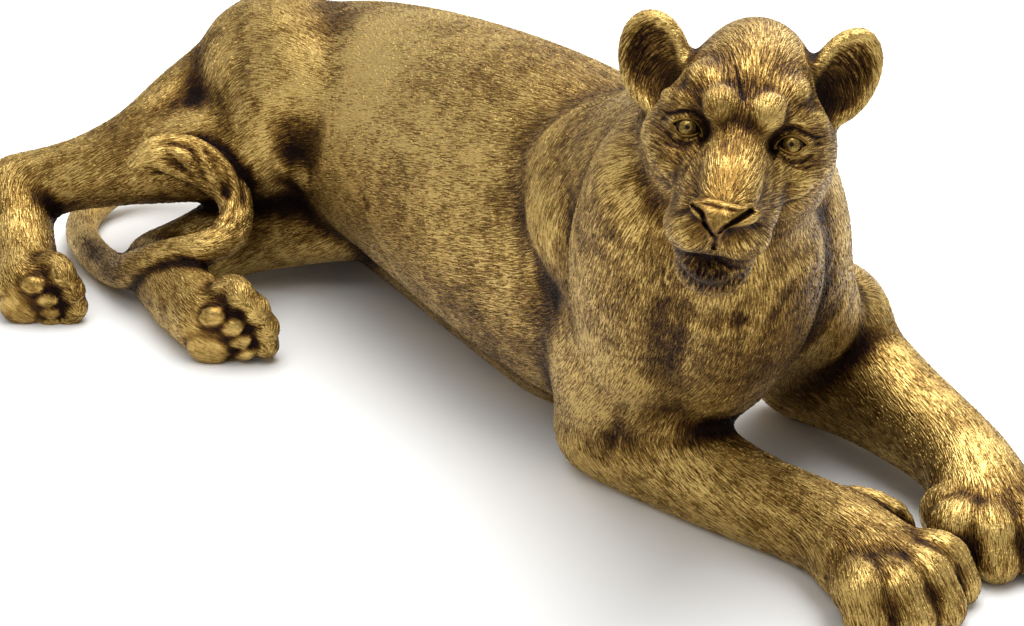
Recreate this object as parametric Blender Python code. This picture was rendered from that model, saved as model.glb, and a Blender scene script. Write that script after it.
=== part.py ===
# A lioness lying on her chest, both forelegs stretched out before her, the hips rolled onto her left side
# and both hind legs out to her right. She is one hollow casting, so she is one solid here.
# Places and thicknesses are in hundredths of her length, in axes of her own: +X runs to the head and the
# fore paws, +Y to her left, +Z up from the floor. At the end she is scaled to metres and centred.
import bmesh
import bpy
import numpy as np
from mathutils import Matrix, Vector

LENGTH = 1.13
TRIANGLES = 9700
GRAIN = 0.5
RING = 24
BROAD_ROUNDS = 56
BROAD_REGAIN = 0.55
FINE_ROUNDS = 3
FLOOR_SNAP = 0.08

EYES = np.array((32.9, -0.9, 38.1))
FACE_LEFT = (0.59, 0.79, -0.12)
FACE_FORWARD = (0.80, -0.59, -0.13)
EYE_SPREAD = 3.35
EAR_SPREAD = 6.6
HEAD_TILT_DROP = {-1: 1.65, 1: 0.6}
FORE_PAW = 1.0
RIGHT_HIND_PAW = 0.86
LEFT_HIND_PAW = 0.92
TAIL_RADIUS = 1.6
FORE_PAW_BODY = (4.7, 4.5, 2.7)
FORE_TOE_GIRTH = 1.08
HIND_PAW_BODY = (4.2, 3.5, 2.4)
HIND_TOE_GIRTH = 0.86
HIND_PAW_UP = (-0.79, 0.583, 0.217)
# Each toe of a hind foot: (to her left, forward) of its tip
HIND_TOES = ((-3.1, 4.2), (-1.05, 5.1), (1.1, 5.2), (3.0, 4.4))
# Each pad of a hind foot: (forward, to her left, half length, half width, depth of its middle)
HIND_PADS = ((-0.7, 1.3, 1.9, 1.8, 2.2), (0.9, -1.8, 1.2, 0.95, 2.0), (2.1, -0.35, 1.15, 0.9, 2.0),
             (2.35, 1.1, 1.1, 0.85, 2.0), (2.3, 2.7, 1.1, 0.8, 1.8))
PAD_THICKNESS = 1.0

OLD_GOLD = (0.45, 0.31, 0.12, 1.0)
METALLIC = 0.9
ROUGHNESS = 0.4

WORLD = np.eye(3)
SIDES = (-1, 1)


def unit(v):
    v = np.asarray(v, float)
    return v / np.linalg.norm(v, axis=-1, keepdims=True)


def full_row(row):
    """(x, y, z, half width, height above, height below, roll in degrees), also from a row with less in it."""
    row = list(row)
    if len(row) == 4:
        row += [row[3], row[3]]
    return row + [0] * (7 - len(row))


def smooth_rows(rows, steps=4):
    """A Catmull-Rom curve through the rows, with `steps` rows for each span."""
    s = np.array([full_row(row) for row in rows], float)
    s = np.vstack([2 * s[0] - s[1], s, 2 * s[-1] - s[-2]])
    t = np.arange(steps)[:, None] / steps
    out = []
    for i in range(1, len(s) - 2):
        a, b, c, d = s[i - 1:i + 3]
        bend = 2 * a - 5 * b + 4 * c - d
        twist = 3 * b - a - 3 * c + d
        out.append(b + 0.5 * ((c - a) * t + bend * t**2 + twist * t**3))
    out.append(s[-2:-1])
    return np.vstack(out)


class Lump:
    """Closed shells that may overlap, collected in one mesh until they are fused."""

    def __init__(self, name):
        self.name = name
        self.shells = bmesh.new()

    def ball(self, centre, radii, axes=WORLD):
        turn = Matrix(np.asarray(axes, float).T.tolist()).to_4x4()
        place = Matrix.Translation(Vector(centre)) @ turn @ Matrix.Diagonal((*radii, 1))
        bmesh.ops.create_icosphere(self.shells, subdivisions=3, radius=1, matrix=place)

    def limb(self, rows, up=(0, 0, 1)):
        """An oval tube through the rows, closed by a round end on each side."""
        s = smooth_rows(rows)
        tangent = unit(np.gradient(s[:, :3], axis=0))
        side = unit(np.cross(np.asarray(up, float), tangent))
        top = np.cross(tangent, side)
        roll = np.radians(s[:, 6:7])
        across = side * np.cos(roll) + top * np.sin(roll)
        above = top * np.cos(roll) - side * np.sin(roll)
        round_end = (1.3, 1.0, 0.7, 0.35)
        rings = [(0, -np.sin(a), np.cos(a)) for a in round_end]
        rings += [(i, 0, 1) for i in range(len(s))]
        rings += [(-1, np.sin(a), np.cos(a)) for a in round_end[::-1]]
        around = np.arange(RING) * 2 * np.pi / RING
        loops = []
        for i, past_end, scale in rings:
            centre = s[i, :3] + tangent[i] * past_end * s[i, 3:6].min()
            tall = np.where(np.sin(around) > 0, s[i, 4], s[i, 5])
            wide = np.cos(around) * s[i, 3]
            ring = np.outer(wide, across[i]) + np.outer(np.sin(around) * tall, above[i])
            loops.append([self.shells.verts.new(p) for p in centre + scale * ring])
        for one, two in zip(loops[:-1], loops[1:]):
            for j in range(RING):
                self.shells.faces.new((one[j - 1], one[j], two[j], two[j - 1]))
        self.shells.faces.new(loops[0])
        self.shells.faces.new(loops[-1][::-1])

    def mesh(self):
        bmesh.ops.recalc_face_normals(self.shells, faces=self.shells.faces)
        mesh = bpy.data.meshes.new(self.name)
        self.shells.to_mesh(mesh)
        self.shells.free()
        return mesh


def head_axes():
    """Rows: forward, to her left, up, for a head turned to her right and dipped a little to her left."""
    left = unit(FACE_LEFT)
    forward = unit(FACE_FORWARD)
    forward = unit(forward - left * (forward @ left))
    return np.stack([forward, left, np.cross(forward, left)])


class Lioness:
    """Her masses: broad ones that flow into each other, fine ones on them, and what is hollowed out."""

    def __init__(self):
        self.broad = Lump("broad")
        self.fine = Lump("fine")
        self.hollow = Lump("hollow")
        self.eyes = Lump("eyes")
        self.face = head_axes()

    def at(self, forward, left, up):
        """A place given from between her eyes, in the head's axes."""
        return EYES + np.array((forward, left, up)) @ self.face

    def head_ball(self, lump, forward, left, up, radii):
        lump.ball(self.at(forward, left, up), radii, self.face)

    def head_limb(self, lump, rows):
        lump.limb([(*self.at(*row[:3]), *row[3:]) for row in rows], up=self.face[2])

    def trunk(self):
        self.broad.limb([
            (-58, 3, 13, 4.5, 4.5, 4.5, -35), (-54, 3.5, 14, 7.5, 8, 7, -40),
            (-46, 5, 15, 8.5, 10.5, 9, -35), (-36, 6, 16, 8.8, 11.5, 10, -24),
            (-24, 7, 16.7, 9.8, 12.3, 11.6, -16), (-12, 8, 16.8, 10.6, 13, 13, -8),
            (-1, 9, 16.8, 10.4, 13, 14, 0), (7, 10, 17.5, 9.6, 11.2, 11.7, 0),
            (12.5, 10.8, 18.6, 7.6, 8, 9.2, 0), (16, 11, 19.5, 4.5, 5, 6.4, 0)])
        self.broad.limb([
            (-52, 8.6, 7, 5.5, 8, 7), (-44, 9.4, 7.4, 6.4, 9.4, 7.8), (-34, 10, 8, 7, 10.4, 8.6),
            (-18, 10.4, 8, 7.4, 10.6, 8.8), (-7, 10.4, 8, 7, 10, 8.6), (-1, 10.8, 8.6, 5, 8, 6.6)])
        self.broad.limb([
            (2, 8.5, 22.5, 8.2, 7, 9.4), (9, 8, 25, 8.4, 7.2, 10.3), (17, 6, 29, 7.7, 7.2, 9.8),
            (24, 3.5, 33.5, 6.3, 6.4, 7.8), (28, 2, 36, 5, 5.5, 6)])

    def chest(self):
        """The front of the neck and the chest, which join the neck to the forelegs."""
        self.broad.limb([
            (27, 1.5, 32.5, 4), (23.5, 5, 26, 6.2), (19, 7.5, 19.5, 6.6), (13.5, 9.5, 12.5, 5.6),
            (9, 11, 8.5, 4)])
        self.broad.limb([(23, -0.5, 31, 5), (19, 1, 24.5, 5.4), (15.5, 3, 18, 5), (12, 4.5, 12, 4.4)])
        self.broad.limb([(20, 9.5, 30, 5), (18, 13, 24, 5), (15.5, 16, 18.5, 4.6), (12, 20, 13, 4.4)])
        self.broad.ball((13, 6.2, 8.8), (4.2, 3.2, 3.6))

    def foreleg(self, top, shoulder, elbow, forearm):
        top, shoulder, elbow = (np.array(q, float) for q in (top, shoulder, elbow))
        out = np.sign(shoulder[1] - 10)
        blade = (top + shoulder) / 2 + (-0.5, out * 1.3, 0)
        arm = (shoulder + elbow) / 2 + (-1, out * 0.5, 0)
        joint = (*shoulder, 4.3, 4.9, 4.9)
        self.broad.limb([(*top, 3.2, 5.8, 5.8), (*blade, 3.9, 6.1, 6.1), joint], up=(1, 0, 0))
        self.broad.limb([joint, (*arm, 4.3, 5.3, 5.3), (*elbow, 3.6, 3.8, 3.8)], up=(1, 0, 0))
        self.broad.limb(forearm)

    def paw(self, centre, forward, up, size, toes, arch, body=FORE_PAW_BODY, girth=FORE_TOE_GIRTH, pads=()):
        """A foot with four toes: toes holds (to her left, forward) for each tip."""
        forward = unit(forward)
        left = unit(np.cross(up, forward))
        axes = np.stack([forward, left, np.cross(forward, left)])

        def put(ahead, aside, above):
            return np.array(centre) + np.array((ahead, aside, above)) * size @ axes

        self.broad.ball(put(0, 0, 0), np.array(body) * size, axes)
        for side, reach in toes:
            root = (*put(0.5, side * 0.55, 0.5), 1.75 * girth * size)
            knuckle = (*put(reach * 0.58, side * 0.88, arch + 0.25), 1.98 * girth * size)
            tip = (*put(reach, side, -0.9), 1.66 * girth * size)
            self.fine.limb([root, knuckle, tip], up=axes[2])
        for ahead, aside, long, wide, deep in pads:
            self.fine.ball(put(ahead, aside, -deep), np.array((long, wide, PAD_THICKNESS)) * size, axes)

    def hind_paw(self, centre, forward, size):
        """A foot that lies on its outer side, its sole turned to her right."""
        self.paw(centre, forward, HIND_PAW_UP, size, HIND_TOES, 0.6, HIND_PAW_BODY, HIND_TOE_GIRTH, HIND_PADS)

    def forelegs(self):
        self.foreleg((5, 4, 27), (15, 3.2, 19), (7.2, 4.8, 5.6), [
            (6.4, 4.7, 4.1, 3.6, 3.9, 4.1), (12.4, 6.8, 4.2, 3.8, 4.2, 4.5), (17.6, 8.1, 3.7, 3.3, 3.5, 3.9),
            (22.3, 9.7, 3.3, 3, 3.1, 3.4), (26.8, 11.6, 3, 3.2, 3, 3.2), (30, 12.5, 2.8, 3.6, 3, 3)])
        self.foreleg((5, 14, 27), (14, 17.3, 17), (6.6, 22.6, 6.4), [
            (5.1, 24.6, 5.6, 4, 5.6, 5.4), (12, 25.8, 5.9, 3.9, 5.2, 5), (18.2, 26.4, 5.2, 3.4, 3.8, 4.2),
            (23.4, 26.4, 4.7, 3.2, 3.2, 3.6), (27.2, 25.9, 4.3, 3.3, 2.9, 3.4),
            (30, 25.1, 3.7, 3.4, 2.8, 3.2)])
        self.broad.ball((9, 25, 10), (5.6, 4.6, 5))
        self.paw((33.0, 12.4, 2.5), (0.985, 0.14, -0.04), (0, 0, 1), FORE_PAW,
                 ((4.2, 4.7), (1.0, 6.3), (-2.3, 6.3), (-5.1, 4.6)), 0.5)
        self.paw((31.6, 24.5, 3.0), (0.97, -0.24, -0.08), (0, 0, 1), FORE_PAW,
                 ((4.6, 3.6), (1.5, 5.4), (-1.8, 5.2), (-4.4, 3.2)), 0.5)
        self.fine.limb([(25, 13.3, 4.1, 0.9), (27.6, 15.7, 4.3, 1), (29.6, 17.2, 3.8, 0.85)])
        self.fine.ball((30.8, 21.4, 2.9), (3.0, 2.2, 2.5))

    def right_hind_leg(self):
        self.broad.limb([
            (-35, 3, 18, 6.5, 6, 6), (-43, 1.5, 18.8, 6.8, 6.8, 7), (-50.5, 1.5, 19.3, 6.2, 6.6, 6.6),
            (-56, 2.5, 15.5, 4.6, 4.6, 4.6)])
        self.broad.limb([
            (-51, 0, 19, 5.8, 6.2, 6), (-47, -1.5, 17.5, 5.8, 6.2, 6), (-41, -3, 14.6, 4.4, 5, 5)])
        self.broad.limb([
            (-54.5, 0, 16.6, 5.2, 5.2, 5.2), (-52, -6.5, 14.6, 5, 4.8, 4.6), (-51.6, -13, 12, 4.2, 3.6, 3.4),
            (-54.8, -20, 9.6, 2.8, 2.4, 2.8)])
        self.broad.limb([
            (-41, -3, 13.8, 4.2, 4.8, 4.2), (-46, -9, 12.6, 4.2, 4.4, 3.8), (-52, -16.5, 10.5, 3.4, 3.2, 3),
            (-56.6, -22.8, 8.8, 2.8, 2.8, 3)])
        self.broad.limb([
            (-57.2, -23.6, 8.4, 3, 3.1, 3.2), (-53.4, -24.6, 6.2, 2.7, 2.9, 3),
            (-49.6, -25.6, 4.2, 2.8, 2.8, 3), (-46.4, -26.2, 3.2, 2.6, 2.8, 3)])
        self.hind_paw((-45.2, -26.5, 2.9), (0.583, 0.815, -0.068), RIGHT_HIND_PAW)

    def left_hind_leg(self):
        self.broad.limb([
            (-50, 7, 8, 6, 6, 6), (-43.5, 5.5, 7.5, 5.2, 5.2, 5.2), (-37.5, 2.5, 7, 3.4, 3.8, 3.6)])
        self.broad.limb([
            (-37.5, 1.5, 7, 3.1, 3.4, 3.4), (-41.3, -1.8, 6.3, 3.7, 4, 4), (-44.4, -5.6, 5, 3.6, 3.8, 3.9),
            (-44.8, -9.6, 3.9, 3.1, 3.2, 3.4), (-45.6, -13.6, 3, 2.6, 2.7, 3)])
        self.broad.limb([
            (-45.6, -14.2, 3, 2.6, 2.7, 3), (-40.6, -14.9, 3.2, 2.5, 3, 3.2),
            (-35, -15.2, 3.4, 2.6, 3.2, 3.4), (-30.5, -14.8, 3.4, 2.6, 3.2, 3.4)])
        self.hind_paw((-28.9, -14.6, 3.3), (0.62, 0.74, 0.27), LEFT_HIND_PAW)

    def tail(self):
        route = [
            (-56, 4, 16, 1.7), (-61, 1.5, 12, 1.45), (-64.6, -3, 7.6, 1.2), (-66.6, -7.6, 4.2, 1.05),
            (-66, -12.2, 2.2, 1), (-63, -15.2, 1.6, 1), (-58.8, -16.9, 1.6, 1), (-54, -17.6, 1.7, 1),
            (-49.4, -17.6, 1.9, 1.02), (-45.2, -17.4, 2.8, 1.05), (-41.6, -16.9, 4.6, 1.05),
            (-38.2, -15.6, 6.4, 1.05), (-35.6, -13, 7.7, 1.02), (-35.2, -10.6, 8.6, 0.98), (-37, -8.9, 9.8, 0.85),
            (-38.9, -8.7, 11.3, 0.95), (-40, -10, 13.2, 1.1), (-41.2, -12.4, 14.7, 1.2), (-42, -14.9, 15, 0.95),
            (-42.2, -16.8, 14.5, 0.45)]
        self.fine.limb([(x, y, z, share * TAIL_RADIUS) for x, y, z, share in route])
        self.broad.limb([(-56, 2, 8, 4, 6, 6), (-55, -4, 8, 3.5, 4, 4)])

    def head(self):
        self.head_ball(self.broad, -5.5, 0, 0.2, (7, 5.7, 4.6))
        self.head_limb(self.fine, [
            (-2, 0, -1.2, 4, 3, 4), (2, 0, -1.8, 3.3, 2.9, 3.7), (5.2, 0, -2.2, 2.8, 2.5, 3.1),
            (7.4, 0, -2.5, 2.3, 2, 2.3)])
        self.head_limb(self.fine, [
            (-2, 0, 0.2, 2.2, 1.8, 2), (2.5, 0, 0.2, 1.9, 1.4, 2), (6, 0, -0.2, 1.7, 1.2, 2),
            (8.4, 0, -0.7, 1.5, 1, 1.6)])
        self.head_ball(self.fine, 9.6, 0, -0.9, (0.8, 1.3, 0.8))
        self.head_limb(self.fine, [
            (-5, 0, -6, 3, 2, 2), (1, 0, -6.6, 2.8, 1.8, 2.2), (4.4, 0, -7.2, 2.5, 1.8, 2.1)])
        for side in SIDES:
            self.head_ball(self.broad, -2.8, side * 3.3, -2.2, (4.6, 3.1, 4.2))
            self.head_ball(self.broad, -6, side * 3.2, -4.5, (4.8, 3.2, 4.4))
            self.head_ball(self.fine, 0.2, side * 1.7, 2.1, (1.8, 1.4, 1.5))
            self.head_ball(self.fine, 6.7, side * 1.8, -2.6, (2.6, 2.2, 2.1))
            self.head_ball(self.hollow, 1.9, side * 3.4, -0.1, (1.6, 1.6, 1.3))
            self.head_ball(self.eyes, 0.2, side * EYE_SPREAD, -0.05, (1.1, 1.2, 1.05))
            self.ear(side)

    def ear(self, side):
        out = unit(np.array((0.85, side * 0.32, 0.3)) @ self.face)
        top = np.array((-0.1, side * 0.45, 1)) @ self.face
        top = unit(top - out * (top @ out))
        axes = np.stack([out, np.cross(top, out), top])
        centre = self.at(-6.8, side * EAR_SPREAD, 2.6 - HEAD_TILT_DROP[side])
        self.fine.ball(centre, (1.6, 2.8, 3.7), axes)
        self.hollow.ball(centre + out * 1.3, (1.6, 2, 2.9), axes)

    def model(self):
        self.trunk()
        self.chest()
        self.forelegs()
        self.right_hind_leg()
        self.left_hind_leg()
        self.tail()
        self.head()


def new_object(name, *meshes):
    """An object that holds the given meshes as one."""
    joined = bmesh.new()
    for mesh in meshes:
        joined.from_mesh(mesh)
        bpy.data.meshes.remove(mesh)
    mesh = bpy.data.meshes.new(name)
    joined.to_mesh(mesh)
    joined.free()
    item = bpy.data.objects.new(name, mesh)
    bpy.context.scene.collection.objects.link(item)
    return item


def fuse(item):
    mould = item.modifiers.new("fuse", "REMESH")
    mould.mode = "VOXEL"
    mould.voxel_size = GRAIN


def soften(item, rounds, regain=0):
    """Lets the masses flow into each other, then gives back what the smoothing took off."""
    smooth = item.modifiers.new("soften", "SMOOTH")
    smooth.factor = 0.5
    smooth.iterations = rounds
    if regain:
        swell = item.modifiers.new("regain", "DISPLACE")
        swell.mid_level = 0
        swell.strength = regain


def cut(item, cutter):
    cutter.hide_render = True
    cutter.display_type = "WIRE"
    carve = item.modifiers.new("cut", "BOOLEAN")
    carve.operation = "DIFFERENCE"
    carve.solver = "EXACT"
    carve.object = cutter


def take_mesh(item):
    """The object's mesh as its modifiers leave it; the object goes."""
    graph = bpy.context.evaluated_depsgraph_get()
    mesh = bpy.data.meshes.new_from_object(item.evaluated_get(graph))
    for modifier in item.modifiers:
        if modifier.type == "BOOLEAN":
            bpy.data.objects.remove(modifier.object, do_unlink=True)
    bpy.data.objects.remove(item, do_unlink=True)
    return mesh


def floor_block():
    """A block under the floor, larger than she is, that cuts her underside flat."""
    block = bmesh.new()
    place = Matrix.Translation((-8, 0, -10)) @ Matrix.Diagonal((160, 100, 20, 1))
    bmesh.ops.create_cube(block, size=1, matrix=place)
    mesh = bpy.data.meshes.new("floor")
    block.to_mesh(mesh)
    block.free()
    return new_object("floor", mesh)


def modelled():
    """The whole figure's mesh, in hundredths of her length."""
    lioness = Lioness()
    lioness.model()
    body = new_object("body", lioness.broad.mesh())
    fuse(body)
    soften(body, BROAD_ROUNDS, BROAD_REGAIN)
    body = new_object("body", take_mesh(body), lioness.fine.mesh())
    fuse(body)
    cut(body, new_object("hollow", lioness.hollow.mesh()))
    body = new_object("body", take_mesh(body), lioness.eyes.mesh())
    fuse(body)
    soften(body, FINE_ROUNDS)
    cut(body, floor_block())
    return take_mesh(body)


def finish(name):
    material = bpy.data.materials.new(name)
    material.use_nodes = True
    shader = material.node_tree.nodes["Principled BSDF"]
    shader.inputs["Base Color"].default_value = OLD_GOLD
    shader.inputs["Metallic"].default_value = METALLIC
    shader.inputs["Roughness"].default_value = ROUGHNESS
    return material


def thin(mesh):
    item = new_object("thin", mesh)
    item.data.calc_loop_triangles()
    reduce = item.modifiers.new("thin", "DECIMATE")
    reduce.ratio = TRIANGLES / len(item.data.loop_triangles)
    reduce.use_collapse_triangulate = True
    return take_mesh(item)


def seat(mesh):
    """Lays the underside flat on the floor, centres the figure and scales it to LENGTH."""
    where = np.empty(3 * len(mesh.vertices))
    mesh.vertices.foreach_get("co", where)
    where = where.reshape(-1, 3)
    where[where[:, 2] < FLOOR_SNAP, 2] = 0
    low, high = where.min(0), where.max(0)
    middle = np.array(((low[0] + high[0]) / 2, (low[1] + high[1]) / 2, 0))
    scale = LENGTH / (high[0] - low[0])
    mesh.vertices.foreach_set("co", ((where - middle) * scale).ravel())
    mesh.update()
    return middle, scale


def fresh_scene():
    for item in list(bpy.data.objects):
        bpy.data.objects.remove(item, do_unlink=True)


def main():
    fresh_scene()
    mesh = thin(modelled())
    placing = seat(mesh)
    lioness = new_object("lioness", mesh)
    lioness.data.materials.append(finish("lioness"))
    lioness.data.shade_smooth()
    return placing


placing = main()
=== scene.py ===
"""A reclining lioness cast in old gold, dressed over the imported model.

Places on her are in units of 10.3 mm, in her own axes: +X towards her head and fore paws, +Y to her left and
+Z up from the floor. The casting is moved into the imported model's frame, in metres, as its last step.
"""

import enum
import logging
import math
from dataclasses import dataclass, field

import bmesh
import bpy
import numpy as np
from mathutils import Matrix, Vector
from mathutils.bvhtree import BVHTree

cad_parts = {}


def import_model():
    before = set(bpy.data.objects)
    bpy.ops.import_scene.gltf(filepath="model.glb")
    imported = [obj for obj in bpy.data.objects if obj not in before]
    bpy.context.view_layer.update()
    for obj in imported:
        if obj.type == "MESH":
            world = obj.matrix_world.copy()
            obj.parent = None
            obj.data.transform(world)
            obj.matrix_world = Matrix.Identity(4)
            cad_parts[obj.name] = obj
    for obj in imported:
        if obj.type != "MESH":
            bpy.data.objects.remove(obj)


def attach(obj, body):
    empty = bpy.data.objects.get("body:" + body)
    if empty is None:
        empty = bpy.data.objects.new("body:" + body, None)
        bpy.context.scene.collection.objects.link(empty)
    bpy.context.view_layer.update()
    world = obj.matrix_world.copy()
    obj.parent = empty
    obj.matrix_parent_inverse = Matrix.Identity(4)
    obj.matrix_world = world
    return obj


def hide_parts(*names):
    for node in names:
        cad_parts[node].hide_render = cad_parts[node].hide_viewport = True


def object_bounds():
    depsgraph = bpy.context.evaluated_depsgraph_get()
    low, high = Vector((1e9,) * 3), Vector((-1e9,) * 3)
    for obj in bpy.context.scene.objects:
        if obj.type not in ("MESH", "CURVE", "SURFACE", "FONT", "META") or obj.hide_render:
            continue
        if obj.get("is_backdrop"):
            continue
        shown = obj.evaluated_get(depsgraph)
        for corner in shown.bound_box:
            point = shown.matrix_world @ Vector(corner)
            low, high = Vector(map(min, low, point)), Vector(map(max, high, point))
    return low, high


LOG = logging.getLogger("lioness")
NODE = "lioness"
BODY = "root"
TO_VIEWER = (0.805, -0.435, 0.4035)
WORLD = np.eye(3)
SIDES = (-1, 1)
RIGHT, LEFT = SIDES
MIDLINE = 10
SENSOR = 36


class Lie(enum.IntEnum):
    """Which way the coat lies on a limb, along the order of its rows."""

    AGAINST = -1
    BARE = 0
    WITH = 1


def unit(v: np.ndarray) -> np.ndarray:
    """The vector, or each row, at length one."""
    v = np.asarray(v, float)
    return v / np.maximum(np.linalg.norm(v, axis=-1, keepdims=True), 1e-9)


def smooth_path(points: np.ndarray, steps: int) -> np.ndarray:
    """A Catmull-Rom curve through points.

    Args:
        points: rows of any width.
        steps: rows to make for each span.

    Returns:
        The rows of the curve, the last point included.
    """
    s = np.asarray(points, float)
    s = np.vstack([2 * s[0] - s[1], s, 2 * s[-1] - s[-2]])
    t = np.arange(steps)[:, None] / steps
    out = []
    for i in range(1, len(s) - 2):
        a, b, c, d = s[i - 1:i + 3]
        bend = 2 * a - 5 * b + 4 * c - d
        twist = 3 * b - a - 3 * c + d
        out.append(b + 0.5 * ((c - a) * t + bend * t**2 + twist * t**3))
    out.append(s[-2:-1])
    return np.vstack(out)


def full_row(row: tuple) -> list:
    """(x, y, z, half width, height above, height below, roll in degrees), also from a row with less in it.

    Args:
        row: a row with at least its place and half width.

    Returns:
        The full row.
    """
    row = list(row)
    if len(row) == 4:
        row += [row[3], row[3]]
    return row + [0] * (7 - len(row))


@dataclass
class Clay:
    """Closed shells that may overlap, gathered before they are cast as one, and how the coat lies on them."""

    ring: int = 24
    steps: int = 4
    ball_level: int = 3
    shells: bmesh.types.BMesh = field(default_factory=bmesh.new)
    coat: list = field(default_factory=list)

    def ball(self, centre: np.ndarray, radii: tuple, axes: np.ndarray = WORLD) -> None:
        """Adds an ellipsoid.

        Args:
            centre: its middle.
            radii: three half sizes along the axes.
            axes: its own axes as rows.
        """
        turn = Matrix(np.asarray(axes, float).T.tolist()).to_4x4()
        place = Matrix.Translation(Vector(centre)) @ turn @ Matrix.Diagonal((*radii, 1))
        bmesh.ops.create_icosphere(self.shells, subdivisions=self.ball_level, radius=1, matrix=place)

    def limb(self, rows: list, up: tuple = (0, 0, 1), lie: Lie = Lie.WITH) -> None:
        """Adds an oval tube through rows, closed by a round end on each side.

        Args:
            rows: rows as full_row reads them.
            up: the direction that "above" turns towards.
            lie: which way the coat lies on it.
        """
        s = smooth_path([full_row(row) for row in rows], self.steps)
        tangent = unit(np.gradient(s[:, :3], axis=0))
        side = unit(np.cross(np.asarray(up, float), tangent))
        top = np.cross(tangent, side)
        roll = np.radians(s[:, 6:7])
        across = side * np.cos(roll) + top * np.sin(roll)
        above = top * np.cos(roll) - side * np.sin(roll)
        round_end = (1.3, 1.0, 0.7, 0.35)
        rings = [(0, -np.sin(a), np.cos(a)) for a in round_end]
        rings += [(i, 0, 1) for i in range(len(s))]
        rings += [(-1, np.sin(a), np.cos(a)) for a in round_end[::-1]]
        around = np.arange(self.ring) * 2 * np.pi / self.ring
        loops = []
        for i, past_end, scale in rings:
            centre = s[i, :3] + tangent[i] * past_end * s[i, 3:6].min()
            tall = np.where(np.sin(around) > 0, s[i, 4], s[i, 5])
            ring = np.outer(np.cos(around) * s[i, 3], across[i]) + np.outer(np.sin(around) * tall, above[i])
            loops.append([self.shells.verts.new(p) for p in centre + scale * ring])
        for one, two in zip(loops[:-1], loops[1:]):
            for j in range(self.ring):
                self.shells.faces.new((one[j - 1], one[j], two[j], two[j - 1]))
        self.shells.faces.new(loops[0])
        self.shells.faces.new(loops[-1][::-1])
        if lie != Lie.BARE:
            self.coat += [(*p[:3], *(t * lie), max(p[3:6])) for p, t in zip(s, tangent)]

    def mesh(self) -> bpy.types.Mesh:
        """All shells as one mesh, facing outwards.

        Returns:
            The mesh.
        """
        bmesh.ops.recalc_face_normals(self.shells, faces=self.shells.faces)
        mesh = bpy.data.meshes.new("clay")
        self.shells.to_mesh(mesh)
        self.shells.free()
        return mesh


@dataclass
class Clays:
    """The four stages that the figure is built up in."""

    broad: Clay = field(default_factory=Clay)
    middle: Clay = field(default_factory=lambda: Clay(32, 6, 4))
    fine: Clay = field(default_factory=lambda: Clay(24, 8, 4))
    hollow: Clay = field(default_factory=lambda: Clay(32, 6, 4))

    def coat(self) -> np.ndarray:
        """Rows of place, direction and reach for the lie of the coat."""
        return np.array(self.broad.coat + self.middle.coat + self.fine.coat, float)


@dataclass
class Stroke:
    """A groove or a ridge along a path on the surface."""

    path: list
    width: float
    height: float
    fade: float = 0.25
    seen: bool = False


@dataclass
class Swell:
    """A soft rise, or with a negative height a hollow, of the surface round a place."""

    centre: tuple
    radius: float
    height: float


@dataclass
class Trunk:
    """Chest, back, belly and neck."""

    barrel: tuple = (
        (-58, 3, 13, 4.5, 4.5, 4.5, -35), (-54, 3.5, 14, 7.5, 8, 7, -40), (-46, 5, 15, 8.5, 10.5, 9, -35),
        (-36, 6, 16, 8.8, 11.5, 10, -24), (-24, 7, 16.7, 9.8, 12.3, 11.6, -16),
        (-12, 8, 16.8, 10.6, 13, 13, -8), (-1, 9, 16.8, 10.4, 13, 14, 0), (7, 10, 17.5, 9.6, 11.2, 11.7, 0),
        (12.5, 10.8, 18.6, 7.6, 8, 9.2, 0), (16, 11, 19.5, 4.5, 5, 6.4, 0))
    belly: tuple = (
        (-52, 8.6, 7, 5.5, 8, 7), (-44, 9.4, 7.4, 6.4, 9.4, 7.8), (-34, 10, 8, 7, 10.4, 8.6),
        (-18, 10.4, 8, 7.4, 10.6, 8.8), (-7, 10.4, 8, 7, 10, 8.6), (-1, 10.8, 8.6, 5, 8, 6.6))
    neck: tuple = (
        (2, 8.5, 22.5, 8.2, 7, 9.4), (9, 8, 25, 8.4, 7.2, 10.3), (17, 6, 29, 7.7, 7.2, 9.8),
        (24, 3.5, 33.5, 6.3, 6.4, 7.8), (28, 2, 36, 5, 5.5, 6))
    chest: tuple = (
        (27, 1.5, 32.5, 4), (23.5, 5, 26, 6.2), (19, 7.5, 19.5, 6.6), (13.5, 9.5, 12.5, 5.6), (9, 11, 8.5, 4))
    near_breast: tuple = ((23, -0.5, 31, 5), (19, 1, 24.5, 5.4), (15.5, 3, 18, 5), (12, 4.5, 12, 4.4))
    far_breast: tuple = ((20, 9.5, 30, 5), (18, 13, 24, 5), (15.5, 16, 18.5, 4.6), (12, 20, 13, 4.4))
    breastbone: tuple = ((13, 6.2, 8.8), (4.2, 3.2, 3.6))

    def masses(self, clays: Clays) -> None:
        """Adds the trunk's masses.

        Args:
            clays: the clays that they are added to.
        """
        for rows in (self.chest, self.near_breast, self.far_breast):
            clays.broad.limb(rows)
        clays.broad.ball(*self.breastbone)
        for rows in (self.barrel, self.belly, self.neck):
            clays.broad.limb(rows, lie=Lie.AGAINST)


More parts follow.
